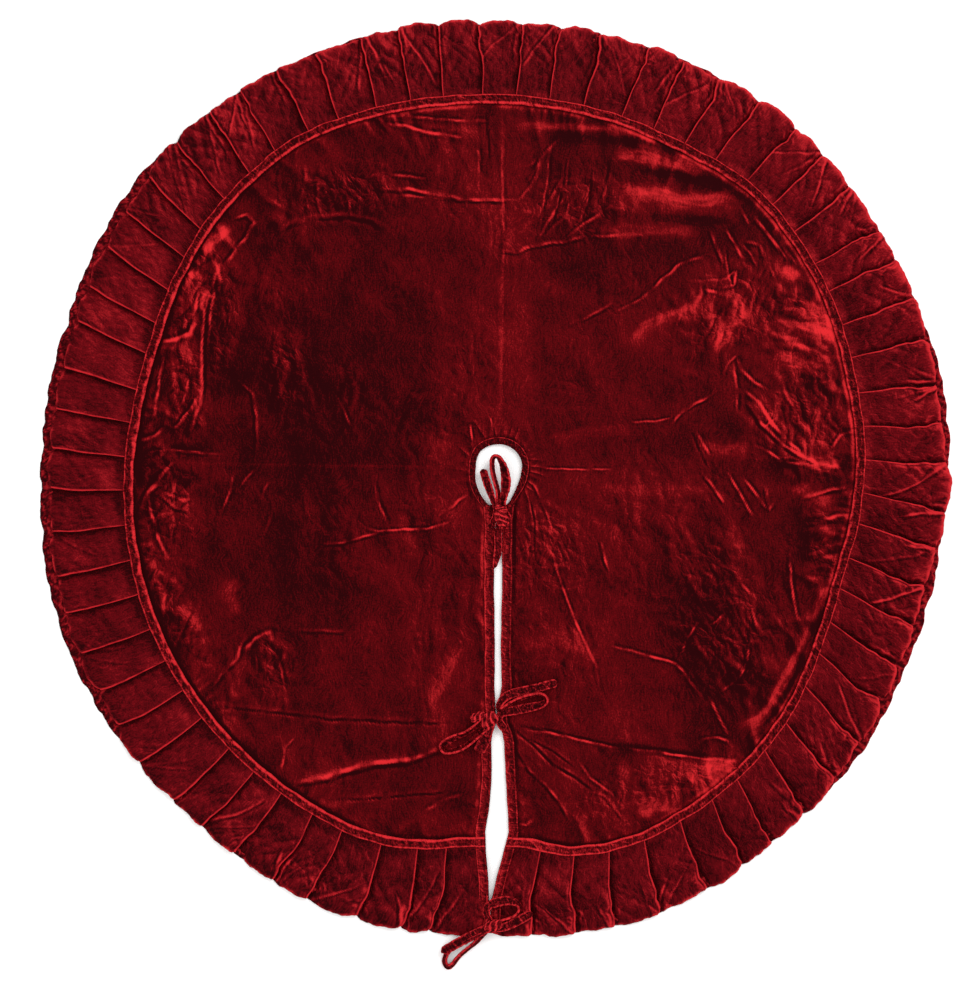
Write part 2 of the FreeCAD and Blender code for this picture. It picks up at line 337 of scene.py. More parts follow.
def woven(name, low, high, threads=900.0):
    """Plain woven lining: crossing threads with a soft sheen."""
    g = Graph(name)
    uv = g.add("UVMap", uv_map="cloth").outputs[0]
    waves = {"Vector": uv, "Scale": threads / 3.2, "Distortion": 0.4, "Detail": 1.0}
    crossing = [g.add("TexWave", waves, bands_direction=way).outputs["Fac"] for way in "XY"]
    weave = g.math("MULTIPLY", *crossing)
    patches = g.math("MULTIPLY", g.noise(uv, 14.0, 4.0), 0.6)
    level = g.math("ADD", g.math("MULTIPLY", weave, 0.45), patches, clamp=True)
    colour = g.ramp(level, [(0.1, low), (0.9, high)])
    bump = g.add("Bump", {"Height": weave, "Strength": 0.5, "Distance": 0.0002}).outputs[0]
    return g.finish(g.add("BsdfPrincipled", {
        "Base Color": colour, "Roughness": 0.7, "Specular IOR Level": 0.12, "Normal": bump,
        "Sheen Weight": 0.06, "Sheen Roughness": 0.5, "Sheen Tint": (1.0, 0.2, 0.2, 1.0),
    }))


# Shaded, middle and lit reds of each cloth, picked between by the painted light, how fine its crush is, and
# how strong away from crushed places.
PANEL_VELVET = velvet(
    "panel_velvet", (0.017, 0.0003, 0.0010), (0.098, 0.0010, 0.0026), (0.54, 0.016, 0.020))
RUFFLE_VELVET = velvet(
    "ruffle_velvet", (0.018, 0.0003, 0.0010), (0.112, 0.0016, 0.0040), (0.46, 0.014, 0.019), 42.0, 0.10)
TRIM_VELVET = velvet(
    "trim_velvet", (0.018, 0.0003, 0.0008), (0.115, 0.0016, 0.0036), (0.54, 0.018, 0.023), 90.0, 0.8, 0.8)
TIE_VELVET = velvet(
    "tie_velvet", (0.016, 0.0003, 0.0008), (0.110, 0.0016, 0.0036), (0.56, 0.020, 0.026), 110.0, 0.8, 1.0)
LINING_CLOTH = woven("lining_cloth", (0.05, 0.002, 0.004), (0.17, 0.006, 0.011))


# ---------------------------------------------------------------- camera and floor

CAMERA_PLACE = (-0.017, -0.033, 3.2)    # overhead, as far off as a person on a ladder
VIEW_HEIGHT = 1.312                     # of the panel's plane, from the top of the frame to its foot
SENSOR = 36.0
LIGHTS = [("key", (1.6, 1.5, 2.4), 1.6, 46.0), ("fill", (-2.0, -1.2, 2.4), 2.2, 16.0)]
FLOOR_REACH = 6.0


def make_camera():
    data = bpy.data.cameras.new("camera")
    data.sensor_width = SENSOR
    data.lens = SENSOR * (CAMERA_PLACE[2] - PANEL_TOP) / VIEW_HEIGHT
    camera = link("camera", data)
    camera.location = CAMERA_PLACE
    bpy.context.scene.camera = camera


def make_light():
    """A bright plain room, a large soft light at the right and back, and a weaker one across from it."""
    world = bpy.data.worlds.new("studio")
    bpy.context.scene.world = world
    world.use_nodes = True
    background = world.node_tree.nodes["Background"]
    background.inputs["Color"].default_value = (1.0, 0.99, 0.98, 1)
    background.inputs["Strength"].default_value = 1.08
    for name, place, size, power in LIGHTS:
        data = bpy.data.lights.new(name, "AREA")
        data.size = size
        data.energy = power
        light = link(name, data)
        light.location = place
        light.rotation_euler = (-Vector(place)).to_track_quat("-Z", "Y").to_euler()
    bpy.context.scene.view_settings.view_transform = "Standard"


def make_floor():
    g = Graph("floor_paper")
    grain = g.noise(g.add("TexCoord").outputs["Object"], 260.0, 2.0)
    colour = g.ramp(grain, [(0.3, (0.93, 0.93, 0.93)), (0.7, (0.95, 0.95, 0.95))])
    paper = g.add("BsdfPrincipled", {"Base Color": colour, "Roughness": 0.9, "Specular IOR Level": 0.1})
    mesh = bpy.data.meshes.new("floor")
    corners = [(x * FLOOR_REACH, y * FLOOR_REACH, 0) for x, y in ((-1, -1), (1, -1), (1, 1), (-1, 1))]
    mesh.from_pydata(corners, [], [(0, 1, 2, 3)])
    mesh.materials.append(g.finish(paper))
    link("floor", mesh)


make_camera()
make_light()
make_floor()


# ---------------------------------------------------------------- ties

# Each tie: its length, the place where it leaves the slit's edge, how full it is, its line as it lies in
# its bow, and at each point of the line the roll of its flat side in degrees (0 lies flat) and its width
# in millimetres. The lines keep to the routes of the CAD ties.
TIES = {
    "tie_hole_right": {
        "length": 0.247, "exit": (0.014, -0.066, 0.0085), "fullness": 1.18,
        "route": [
            (0.014, -0.066, 0.008), (0.007, -0.056, 0.0095), (0.0045, -0.046, 0.0105),
            (0.007, -0.033, 0.011), (0.0098, -0.02, 0.0115), (0.0085, -0.004, 0.012),
            (0.005, 0.009, 0.012), (-0.002, 0.0195, 0.0115), (-0.0092, 0.0165, 0.011),
            (-0.009, 0.002, 0.01), (-0.0055, -0.013, 0.0095), (-0.0012, -0.028, 0.009),
            (0.0005, -0.044, 0.009), (0.0035, -0.06, 0.0095), (0.001, -0.072, 0.009),
            (-0.0012, -0.086, 0.008), (-0.0005, -0.104, 0.008), (-0.0032, -0.118, 0.0075),
            (-0.0062, -0.13, 0.007),
        ],
        "roll": [0, 10, 30, 25, 20, 35, 50, 70, 60, 62, 64, 62, 40, 10, -40, -20, 10, 20, 40],
        "width": [9, 8, 8, 10, 12, 11, 9, 8, 8, 9, 9, 8, 7, 7, 8, 9, 9, 9, 5],
    },
    "tie_hole_left": {
        "length": 0.0865, "exit": (-0.014, -0.08, 0.0085), "fullness": 1.12,
        "route": [
            (-0.012, -0.078, 0.008), (-0.006, -0.066, 0.0095), (-0.0025, -0.053, 0.011),
            (-0.0085, -0.037, 0.012), (-0.014, -0.022, 0.0115), (-0.018, -0.01, 0.0105),
            (-0.0215, 0.0015, 0.0095),
        ],
        "roll": [0, 0, 15, 20, 15, 5, 0],
        "width": [9, 7, 6.5, 7.5, 9.5, 9.5, 9],
    },
    "tie_middle_right": {
        "length": 0.24, "exit": (0.009, -0.344, 0.0085), "fullness": 1.22,
        "route": [
            (0.009, -0.344, 0.008), (0.0, -0.335, 0.009), (0.0, -0.324, 0.0095), (0.012, -0.3195, 0.009),
            (0.028, -0.3168, 0.0085), (0.047, -0.313, 0.0085), (0.057, -0.311, 0.009),
            (0.065, -0.304, 0.0095), (0.057, -0.295, 0.011), (0.041, -0.298, 0.012),
            (0.021, -0.3045, 0.012), (0.002, -0.318, 0.0115), (-0.001, -0.315, 0.011),
            (0.004, -0.304, 0.012), (0.013, -0.297, 0.0115), (0.028, -0.293, 0.0105),
            (0.048, -0.289, 0.01), (0.064, -0.2845, 0.0095), (0.0775, -0.2812, 0.009),
        ],
        "roll": [0, 0, 20, 10, 5, 10, 35, 70, 75, 68, 66, 60, 40, 30, 15, 8, 0, 0, 0],
        "width": [9, 8, 8, 10, 10, 9, 8, 8, 8, 8, 8, 7, 7, 9, 10, 10, 9.5, 9.5, 9.5],
    },
    "tie_middle_left": {
        "length": 0.214, "exit": (-0.017, -0.322, 0.0085), "fullness": 1.22,
        "route": [
            (-0.016, -0.321, 0.008), (-0.009, -0.328, 0.0095), (-0.025, -0.3345, 0.0105),
            (-0.041, -0.3475, 0.0105), (-0.058, -0.3535, 0.0105), (-0.0715, -0.3605, 0.0105),
            (-0.0775, -0.3685, 0.01), (-0.0695, -0.374, 0.009), (-0.051, -0.3695, 0.0085),
            (-0.038, -0.361, 0.009), (-0.0275, -0.351, 0.0095), (-0.016, -0.3395, 0.0105),
            (-0.011, -0.338, 0.011), (-0.0165, -0.352, 0.01), (-0.0215, -0.363, 0.0085),
            (-0.0272, -0.3745, 0.008),
        ],
        "roll": [0, 20, 50, 55, 40, 30, 75, 60, 55, 60, 55, 40, 20, 10, 0, 0],
        "width": [9, 8, 8, 8, 9, 9.5, 9.5, 8, 8, 8, 8, 8, 9, 11, 13, 13],
    },
    "tie_hem_right": {
        "length": 0.164, "exit": (-0.004, -0.597, 0.0105), "fullness": 1.12,
        "route": [
            (-0.008, -0.6, 0.015), (-0.016, -0.591, 0.0165), (-0.017, -0.578, 0.017),
            (-0.009, -0.5725, 0.017), (0.003, -0.569, 0.017), (0.015, -0.5685, 0.0165),
            (0.0255, -0.572, 0.0165), (0.029, -0.581, 0.016), (0.0215, -0.5905, 0.0155),
            (0.008, -0.5945, 0.0155), (-0.005, -0.5985, 0.016), (-0.006, -0.605, 0.0165),
            (0.005, -0.605, 0.016), (0.024, -0.5965, 0.015), (0.0445, -0.585, 0.014),
        ],
        "roll": [20, 20, 15, 10, 12, 25, 60, 72, 66, 62, 60, 30, 10, 5, 0],
        "width": [8, 9, 10, 11, 11, 10, 9, 9, 8, 7, 7, 8, 9, 10.5, 11],
    },
    "tie_hem_left": {
        "length": 0.24, "exit": (-0.019, -0.592, 0.0105), "fullness": 1.05,
        "route": [
            (-0.012, -0.59, 0.015), (-0.013, -0.603, 0.0165), (-0.0205, -0.613, 0.014),
            (-0.032, -0.6265, 0.011), (-0.045, -0.6365, 0.0085), (-0.0545, -0.6455, 0.007),
            (-0.0612, -0.6555, 0.0062), (-0.068, -0.6595, 0.0058), (-0.0725, -0.652, 0.0058),
            (-0.0705, -0.643, 0.0062), (-0.065, -0.635, 0.007), (-0.049, -0.6235, 0.01),
            (-0.032, -0.613, 0.0135), (-0.016, -0.605, 0.016), (-0.014, -0.604, 0.0172),
            (-0.0225, -0.6085, 0.0172), (-0.039, -0.6168, 0.015), (-0.056, -0.6262, 0.012),
            (-0.0765, -0.6385, 0.009),
        ],
        "roll": [0, 10, 40, 55, 55, 55, 50, 45, 50, 55, 60, 60, 50, 20, 0, 0, 0, 0, 0],
        "width": [9, 8, 8, 8, 8, 8.5, 9, 9, 9, 8.5, 8, 8, 8, 8, 10, 11.5, 12.5, 12.5, 12],
    },
}

# The tie's section: two soft rolled edges with a pressed middle, as shares of half width and thickness.
TIE_SECTION = [
    (1.0, 0.0), (0.94, 0.75), (0.74, 1.0), (0.48, 0.62), (0.22, 0.5), (0.0, 0.46), (-0.22, 0.5),
    (-0.48, 0.62), (-0.74, 1.0), (-0.94, 0.75), (-1.0, 0.0), (-0.94, -0.75), (-0.74, -1.0),
    (-0.4, -0.6), (0.0, -0.5), (0.4, -0.6), (0.74, -1.0), (0.94, -0.75),
]
TIE_HALF_THICKNESS = 0.0017
TIE_END_STEPS = 2                   # how many steps of the line the rounding of an end takes


def spline_points(name, route):
    """The points of a smooth line with the route as its control points."""
    curve = bpy.data.curves.new(name + "_line", "CURVE")
    curve.dimensions = "3D"
    curve.resolution_u = 10
    spline = curve.splines.new("NURBS")
    spline.points.add(len(route) - 1)
    for point, place in zip(spline.points, route):
        point.co = (*place, 1)
    spline.order_u = 3
    spline.use_endpoint_u = True
    holder = link(name + "_line", curve)
    mesh = bpy.data.meshes.new_from_object(holder)
    points = np.array([v.co for v in mesh.vertices])
    bpy.data.objects.remove(holder)
    bpy.data.meshes.remove(mesh)
    return points


def swept(points, roll, width, seed):
    """The tie's section swept along a line, with rounded ends: its rows of points, and the way along it."""
    along = np.gradient(points, axis=0)
    along /= np.linalg.norm(along, axis=1, keepdims=True)
    across = np.cross(along, (0, 0, 1))
    across /= np.linalg.norm(across, axis=1, keepdims=True)
    up = np.cross(across, along)
    turn = np.radians(roll)[:, None]
    side = across * np.cos(turn) + up * np.sin(turn)
    top = up * np.cos(turn) - across * np.sin(turn)
    step = np.r_[0, np.cumsum(np.linalg.norm(np.diff(points, axis=0), axis=1))]
    order = np.arange(len(points))
    to_end = np.clip(np.minimum(order, order[::-1]) / TIE_END_STEPS, 0, 1)
    closing = np.sqrt(np.clip(1 - (1 - to_end) ** 2, 0.02, 1))
    rows = []
    for a, b in TIE_SECTION:
        ripple = 1 + 0.13 * noise(step * 260 + 5 * a, 3 * b + 0 * step, seed)
        dip = 1 + 0.22 * noise(step * 330 + 9 * a, 2 * b + 0 * step, seed + 5)
        rows.append(points + side * (a * width / 2 * closing * ripple)[:, None]
                    + top * (b * TIE_HALF_THICKNESS * closing * dip)[:, None])
    return np.array(rows), step


def strap_skin(name, rows, lengthwise, painted_light):
    """A closed velvet skin over a ring of rows, (section points) x (line points), with filled ends."""
    ring, count = rows.shape[:2]
    index = np.arange(ring * count).reshape(ring, count)
    following = np.roll(index, -1, axis=0)
    faces = np.stack([index[:, :-1], index[:, 1:], following[:, 1:], following[:, :-1]], -1).reshape(-1, 4)
    faces = faces.tolist() + [index[:, 0].tolist(), index[::-1, -1].tolist()]
    mesh = bpy.data.meshes.new(name)
    mesh.from_pydata(rows.reshape(-1, 3).tolist(), [], faces)
    mesh.update()
    girth = np.arange(ring)[:, None] * 0.0013
    uv = np.stack(np.broadcast_arrays(lengthwise, girth), -1)
    piece = dressed(name, mesh, uv, painted_light, 0 * painted_light, TIE_VELVET)
    return piece


def make_tie(node, facts, seed):
    """A tie's strip along its line, with a speckled painted highlight on its two rolled edges and some random
    tone.
    """
    name = node.replace("tie", "strap")
    points = spline_points(name, facts["route"])
    stations = np.arange(len(facts["route"]))
    share = np.linspace(0, stations[-1], len(points))
    roll = np.interp(share, stations, facts["roll"])
    width = np.interp(share, stations, facts["width"]) * facts["fullness"] / 1000
    rows, step = swept(points, roll, width, seed)
    edge = np.abs(np.array(TIE_SECTION)[:, :1])
    run = step[None]
    speckle = np.clip(0.85 + 0.7 * noise(run * 210, edge * 2, seed + 12), 0.3, 1.2)
    painted_light = 0.06 + 0.72 * ease((edge - 0.55) / 0.4) * speckle + 0.34 * layered(run * 150, edge * 3, seed + 9)
    tie = strap_skin(name, rows, step + 0.31 * seed, painted_light)
    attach(tie, "front_right" if node.endswith("right") else "front_left")
    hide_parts(node)


# Each knot: its middle, half sizes, turn in degrees and the quarter it stays on.
KNOTS = {
    "knot_hole": ((0.0035, -0.0635, 0.0160), (0.0115, 0.0085, 0.0050), 115, "front_right"),
    "knot_hole_wrap": ((0.0030, -0.0515, 0.0150), (0.0085, 0.0045, 0.0036), -25, "front_right"),
    "knot_middle": ((-0.0125, -0.3310, 0.0145), (0.0120, 0.0095, 0.0050), 48, "front_left"),
    "knot_middle_wrap": ((-0.0275, -0.3265, 0.0125), (0.0100, 0.0065, 0.0040), 20, "front_left"),
    "knot_hem": ((-0.0075, -0.6020, 0.0185), (0.0125, 0.0080, 0.0050), 20, "front_right"),
}


def make_knot(name, middle, half, turn, body, seed):
    """A pulled knot: a lump of strap wound over itself, with creases between the turns."""
    lengthwise = np.linspace(0, math.pi, 40)[None, 1:-1]
    round_it = np.linspace(0, 2 * math.pi, 60, endpoint=False)[:, None]
    winding = 2 * round_it + 4.5 * np.cos(lengthwise) + 0.5 * np.sin(3 * round_it + seed)
    strands = np.abs(np.sin(winding))
    bumps = noise(2.2 * np.cos(round_it) + 3 * lengthwise, 2.2 * np.sin(round_it) + seed, seed + 40)
    size = (0.74 + 0.30 * strands ** 0.7 + 0.12 * bumps) * np.sin(lengthwise) ** 0.55
    x = half[0] * np.cos(lengthwise) * (1 + 0.08 * bumps)
    y, z = half[1] * size * np.cos(round_it), half[2] * size * np.sin(round_it)
    c, s = math.cos(math.radians(turn)), math.sin(math.radians(turn))
    rows = np.stack([x * c - y * s, x * s + y * c, z], -1) + np.array(middle)
    # Painted highlight on the tops of the wound strands, painted shade in the creases between them, and
    # random tone.
    painted_light = 0.10 + 0.75 * strands ** 5 + 0.35 * bumps
    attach(strap_skin(name, rows, lengthwise * 0.008, painted_light), body)


# ---------------------------------------------------------------- panel

PANEL_COLUMNS = 1248
PANEL_ROWS = 210
PANEL_MEAN = 0.0045
PANEL_LOWEST = 0.0026
PANEL_HIGHEST = 0.0115
UV_PLACE = 2.0          # keeps the flat coordinates of the panel and the lining above zero

# Creases of the panel: (points in millimetres, width, height). A crest, with a painted highlight, has a
# height above zero and a valley, with painted shade, has one below.
CREASES = [
    # upper right
    ([(0, 291), (22, 288), (48, 298), (85, 302), (118, 310)], 2.4, 1.1),
    ([(118, 310), (150, 311), (205, 313)], 2.4, 0.8),
    ([(0, 357), (24, 358), (40, 372), (48, 392), (60, 424)], 2.4, 0.8),
    ([(52, 308), (66, 330), (78, 350), (90, 362)], 2.2, 0.9),
    ([(62, 310), (86, 336), (100, 362)], 2.2, 0.7),
    ([(85, 303), (110, 326), (150, 350)], 2.4, 1.0),
    ([(130, 354), (138, 370), (145, 400), (150, 425)], 2.6, -0.9),
    ([(30, 370), (60, 420), (82, 440)], 2.4, 0.6),
    ([(104, 320), (118, 350), (124, 400)], 2.4, -0.6),
    ([(72, 432), (66, 380), (57, 328)], 2.2, -0.8),
    ([(92, 424), (84, 372), (70, 316)], 2.2, -0.8),
    ([(60, 345), (70, 362), (84, 388)], 2.0, 0.5),
    ([(36, 400), (52, 412), (60, 428)], 2.0, 0.6),
    ([(74, 340), (90, 380), (96, 420)], 2.4, -0.6),
    ([(156, 210), (180, 222), (205, 240), (220, 255), (240, 273), (270, 283)], 2.4, 1.3),
    ([(93, 192), (110, 200), (130, 208), (150, 222)], 2.3, 1.0),
    ([(250, 251), (295, 251), (314, 262), (312, 245), (288, 238)], 2.2, 1.2),
    ([(270, 240), (296, 232)], 2.2, 0.9),
    ([(279, 316), (288, 295), (297, 272)], 2.2, 1.1),
    ([(300, 320), (312, 300), (322, 280), (326, 268)], 2.2, 1.2),
    ([(320, 300), (332, 288), (342, 270)], 2.2, 1.0),
    ([(325, 302), (345, 298), (352, 278)], 2.2, 1.1),
    ([(338, 335), (352, 318), (365, 300), (384, 278)], 2.6, 1.5),
    ([(318, 350), (332, 325)], 2.4, 0.9),
    ([(300, 300), (306, 262), (316, 228)], 2.2, -0.8),
    ([(358, 275), (366, 250)], 2.2, 0.9),
    ([(372, 300), (395, 272)], 2.2, 1.1),
    ([(-60, 358), (-20, 357), (10, 358)], 2.6, 1.2),
    ([(5, 440), (5, 360), (6, 270)], 2.2, 0.5),
    ([(-17, 475), (-14, 440), (-12, 400)], 2.4, -0.9),
    ([(-26, 462), (-24, 420), (-24, 370)], 2.2, -0.5),
    ([(-140, 470), (-60, 463), (-15, 463)], 2.6, 0.8),
    # right
    ([(313, 150), (322, 132), (338, 116), (358, 104)], 2.6, 1.2),
    ([(313, 150), (318, 110), (318, 76)], 2.6, -1.0),
    ([(313, 152), (302, 140), (298, 122)], 2.4, 0.9),
    ([(325, 105), (345, 88), (356, 68), (383, 36), (408, 18)], 3.0, 1.6),
    ([(330, 90), (348, 60), (380, 30), (420, 8), (460, 2)], 3.2, 1.6),
    ([(338, 32), (360, 22), (376, 10), (420, 5), (455, 0)], 2.8, 1.2),
    ([(340, 66), (352, 58), (366, 70)], 2.4, 0.8),
    ([(228, 58), (240, 75), (258, 88), (280, 99), (290, 104)], 2.4, 1.3),
    ([(262, 50), (270, 35), (280, 18)], 2.2, 1.0),
    ([(256, 50), (268, 22), (276, 4)], 2.2, -0.8),
    ([(265, 0), (280, -18), (298, -45)], 2.4, 1.2),
    ([(302, -2), (315, -25), (335, -60)], 2.4, 1.2),
    ([(322, -8), (340, -32), (358, -55)], 2.4, 1.1),
    ([(352, -20), (358, -52), (366, -40)], 2.2, 0.9),
    ([(176, 62), (205, 64), (228, 68)], 2.2, 0.8),
    ([(60, 1), (110, 0), (150, 0)], 2.2, 0.6),
    ([(45, -18), (60, -50), (75, -95)], 2.6, 0.5),
    ([(40, -30), (46, -70), (46, -110)], 2.6, -0.6),
    ([(440, 30), (452, 46), (470, 52)], 2.6, 1.0),
    ([(400, -38), (430, -30), (462, -22)], 2.8, 1.3),
    ([(418, -68), (445, -62), (468, -58)], 2.6, 1.0),
    # lower right
    ([(68, -105), (80, -145), (98, -195), (115, -232), (128, -260), (132, -290)], 2.8, 0.55),
    ([(135, -95), (140, -120), (146, -135)], 2.4, 0.9),
    ([(150, -235), (175, -240), (200, -247), (232, -256), (245, -268), (258, -288), (270, -302)], 2.8, 1.0),
    ([(278, -300), (290, -325), (304, -352)], 2.4, 1.1),
    ([(240, -248), (252, -222), (266, -200)], 2.2, 1.0),
    ([(282, -206), (298, -192)], 2.4, 1.0),
    ([(320, -150), (332, -163)], 2.4, 0.9),
    ([(332, -180), (342, -210)], 2.2, 0.8),
    ([(334, -225), (328, -255), (318, -275), (292, -295)], 2.4, 1.0),
    ([(385, -108), (386, -150), (395, -200)], 2.6, 1.1),
    ([(25, -341), (60, -344), (110, -356), (160, -367)], 2.6, -1.1),
    ([(170, -369), (215, -375), (262, -382), (318, -386)], 2.6, 1.1),
    ([(20, -345), (45, -365), (72, -392), (100, -407), (125, -427)], 2.8, -1.0),
    ([(24, -370), (40, -398), (62, -418), (80, -440), (96, -468)], 2.4, 0.7),
    ([(30, -352), (70, -372), (104, -398)], 2.4, -0.6),
    ([(104, -383), (120, -408), (150, -430), (168, -452)], 2.4, 0.7),
    ([(120, -425), (140, -432), (166, -465)], 2.2, 0.5),
    ([(20, -470), (36, -470), (46, -460)], 2.4, 0.9),
    ([(256, -368), (270, -356), (290, -354), (305, -360), (312, -370)], 2.2, 1.1),
    # lower left
    ([(-272, -415), (-230, -407), (-190, -395), (-160, -389), (-125, -386), (-80, -370)], 4.4, 2.2),
    ([(-380, -312), (-300, -322), (-220, -331), (-130, -335), (-60, -336)], 2.6, -1.1),
    ([(-230, -437), (-180, -436), (-120, -432), (-60, -425)], 2.2, -0.9),
    ([(-290, -395), (-284, -370), (-272, -355)], 2.4, 0.8),
    ([(-100, -455), (-80, -440), (-50, -430)], 3.0, 0.8),
    ([(-340, -240), (-325, -224), (-300, -215)], 4.0, 1.3),
    ([(-268, -212), (-205, -214)], 2.6, 0.8),
    ([(-338, -222), (-348, -250), (-380, -285)], 3.0, 0.7),
    ([(-312, -226), (-292, -250), (-282, -300)], 2.4, 0.9),
    # left
    ([(-383, 235), (-388, 200), (-391, 160), (-391, 110), (-393, 85), (-402, 60), (-408, 50)], 3.0, -1.7),
    ([(-377, 250), (-383, 200), (-386, 160)], 2.4, 1.0),
    ([(-398, 235), (-406, 200)], 2.4, 1.1),
    ([(-402, 196), (-410, 180), (-428, 174), (-450, 168)], 4.0, 1.7),
    ([(-406, 165), (-412, 120), (-420, 88)], 2.4, 1.0),
    ([(-445, 150), (-452, 110), (-458, 70)], 2.6, 1.1),
    ([(-398, 98), (-412, 75), (-424, 60), (-432, 55)], 2.8, 1.2),
    ([(-475, 38), (-455, 45), (-443, 58)], 2.8, 1.2),
    ([(-480, 24), (-430, 26), (-365, 20)], 2.2, 0.8),
    ([(-432, 12), (-448, -8), (-465, -30), (-478, -58)], 3.6, 1.8),
    ([(-465, -32), (-462, -55), (-452, -90), (-438, -120)], 2.8, 1.5),
    ([(-450, -28), (-420, -40), (-402, -38)], 2.6, 1.0),
    ([(-450, -32), (-428, -52), (-410, -54)], 2.4, 0.8),
    ([(-352, -5), (-358, -30), (-368, -60)], 2.4, 1.1),
    ([(-325, 0), (-345, -25)], 2.2, 0.8),
    ([(-350, 122), (-326, 100), (-322, 70), (-321, 40), (-322, 20)], 2.4, 1.0),
    ([(-305, -15), (-320, -45)], 2.4, 0.6),
    ([(-300, -55), (-315, -95)], 2.4, 0.6),
    ([(-163, -15), (-158, -40), (-145, -72)], 2.4, -0.9),
    ([(-180, -75), (-160, -82), (-125, -79), (-95, -78), (-65, -70)], 2.4, 1.2),
    ([(-160, -83), (-185, -92), (-235, -100)], 2.6, 1.0),
    ([(-82, -62), (-60, -46), (-40, -30)], 2.6, 0.7),
    ([(-38, 62), (-37, 45), (-36, 32)], 2.4, 0.9),
    ([(-12, 70), (-10, 46)], 2.2, 0.7),
    ([(-213, 100), (-205, 85), (-195, 60)], 2.4, -0.6),
    # upper left
    ([(-148, 457), (-125, 456), (-100, 448), (-50, 440)], 3.4, 1.1),
    ([(-145, 390), (-120, 390), (-98, 386)], 2.8, 0.7),
    ([(-160, 372), (-120, 372), (-90, 364), (-50, 360)], 3.2, 1.4),
    ([(-130, 364), (-95, 361), (-60, 357)], 2.6, 0.9),
    ([(-297, 312), (-270, 325), (-240, 331), (-200, 333), (-170, 326), (-150, 313)], 5.0, -0.9),
    ([(-240, 384), (-242, 360), (-236, 340)], 2.4, 0.8),
    ([(-200, 376), (-198, 345), (-194, 336)], 2.4, 0.8),
    ([(-290, 410), (-296, 380), (-292, 350)], 2.6, -0.6),
    ([(-262, 420), (-256, 390), (-262, 360)], 2.4, 0.5),
    ([(-340, 300), (-325, 328), (-334, 338), (-352, 334)], 2.8, 1.5),
    ([(-365, 270), (-345, 298), (-330, 318)], 2.6, 1.1),
    ([(-372, 235), (-370, 252), (-376, 275)], 2.8, 1.2),
]

# Satin folds, broad soft bands of painted sheen, or of painted shade where the lift is below zero:
# (points, width, how far it catches light).
# A fold with a positive width is crisp on its left and fades to its right.
SATIN = [
    # upper right
    ([(150, 416), (200, 411), (242, 401), (270, 390)], -9, 0.50),
    ([(152, 372), (205, 371), (250, 362), (275, 360), (300, 366), (328, 356)], 11, 0.54),
    ([(130, 312), (180, 314), (235, 316), (274, 312)], -9, 0.28),
    ([(14, 458), (40, 459), (97, 457), (150, 452), (195, 443)], 6, 0.34),
    ([(50, 449), (120, 446), (180, 437), (230, 426), (262, 414)], 9, -0.26),
    ([(180, 398), (235, 393), (272, 386), (305, 375), (330, 358)], 8, -0.35),
    ([(190, 338), (250, 334), (305, 332)], 8, -0.24),
    ([(176, 160), (180, 178), (190, 192), (212, 203), (245, 212), (268, 224)], 8, 0.36),
    ([(360, 156), (390, 147), (420, 144), (446, 150)], 9, 0.40),
    ([(396, 222), (415, 216), (432, 198), (446, 166)], 10, 0.46),
    ([(335, 214), (312, 196), (302, 172), (284, 150)], 9, 0.38),
    ([(376, 268), (388, 265), (400, 257)], 8, 0.45),
    # right
    ([(345, 100), (358, 78), (376, 58)], 8, 0.36),
    ([(390, 22), (420, 10), (455, 6)], 12, 0.46),
    ([(360, 18), (392, 6), (430, -6), (465, -12)], 7, -0.40),
    ([(385, -34), (400, -20), (425, -34), (452, -42)], 9, 0.34),
    ([(260, 34), (300, 30), (336, 30)], 10, 0.26),
    ([(120, -22), (200, -24), (290, -24)], 7, 0.14),
    ([(60, 42), (120, 54), (185, 58)], 7, 0.14),
    # lower right
    ([(436, -150), (424, -182), (414, -206)], 5, 0.40),
    ([(414, -200), (399, -236), (386, -262), (371, -286), (360, -308), (344, -328), (312, -344)], -8, 0.62),
    ([(452, -148), (436, -182), (420, -218), (404, -250), (388, -284), (366, -322), (340, -346)], 5, -0.5),
    ([(20, -240), (70, -228), (110, -236), (132, -262)], -10, 0.16),
    ([(172, -372), (215, -376), (262, -383), (322, -388)], 14, 0.26),
    ([(262, -386), (292, -389), (324, -390)], 14, 0.42),
    ([(150, -362), (215, -370), (262, -377), (300, -381)], 6, -0.34),
    ([(262, -442), (284, -417), (302, -402)], 6, 0.30),
    ([(180, -462), (210, -450), (244, -446)], -10, 0.30),
    ([(100, -200), (116, -232), (126, -262)], 9, 0.16),
    # left of the slit
    ([(-48, -232), (-66, -268), (-80, -296), (-92, -318)], 9, 0.26),
    ([(-272, -412), (-230, -404), (-190, -393), (-150, -386), (-110, -381)], -5, 0.30),
    # left
    ([(-350, -140), (-352, -165), (-342, -195)], 9, 0.28),
    ([(-392, 282), (-380, 298), (-352, 322)], -7, 0.62),
    ([(-418, 236), (-410, 254), (-400, 270)], 6, 0.46),
    ([(-402, 212), (-394, 228), (-386, 242)], 7, 0.46),
    ([(-378, 252), (-372, 262), (-372, 276)], 6, 0.40),
    ([(-436, 26), (-470, 30), (-400, 32), (-372, 36)], 10, -0.16),
    ([(-390, -18), (-430, -15), (-470, -15)], 9, -0.16),
    # upper left
    ([(-297, 318), (-270, 331), (-240, 338), (-200, 340), (-170, 334)], 5, 0.16),
    ([(-140, 372), (-100, 370), (-60, 363)], 8, 0.22),
    ([(-120, 456), (-60, 452), (-20, 450)], 7, 0.16),
    # where the cloth was folded for storage
    ([(5, 485), (6, 380), (6, 300)], 3, 0.22),
    ([(6, 300), (5, 200), (3, 60)], 3, 0.22),
    ([(-430, 10), (-300, 8), (-160, 6), (-50, 4)], 2, 0.10),
]

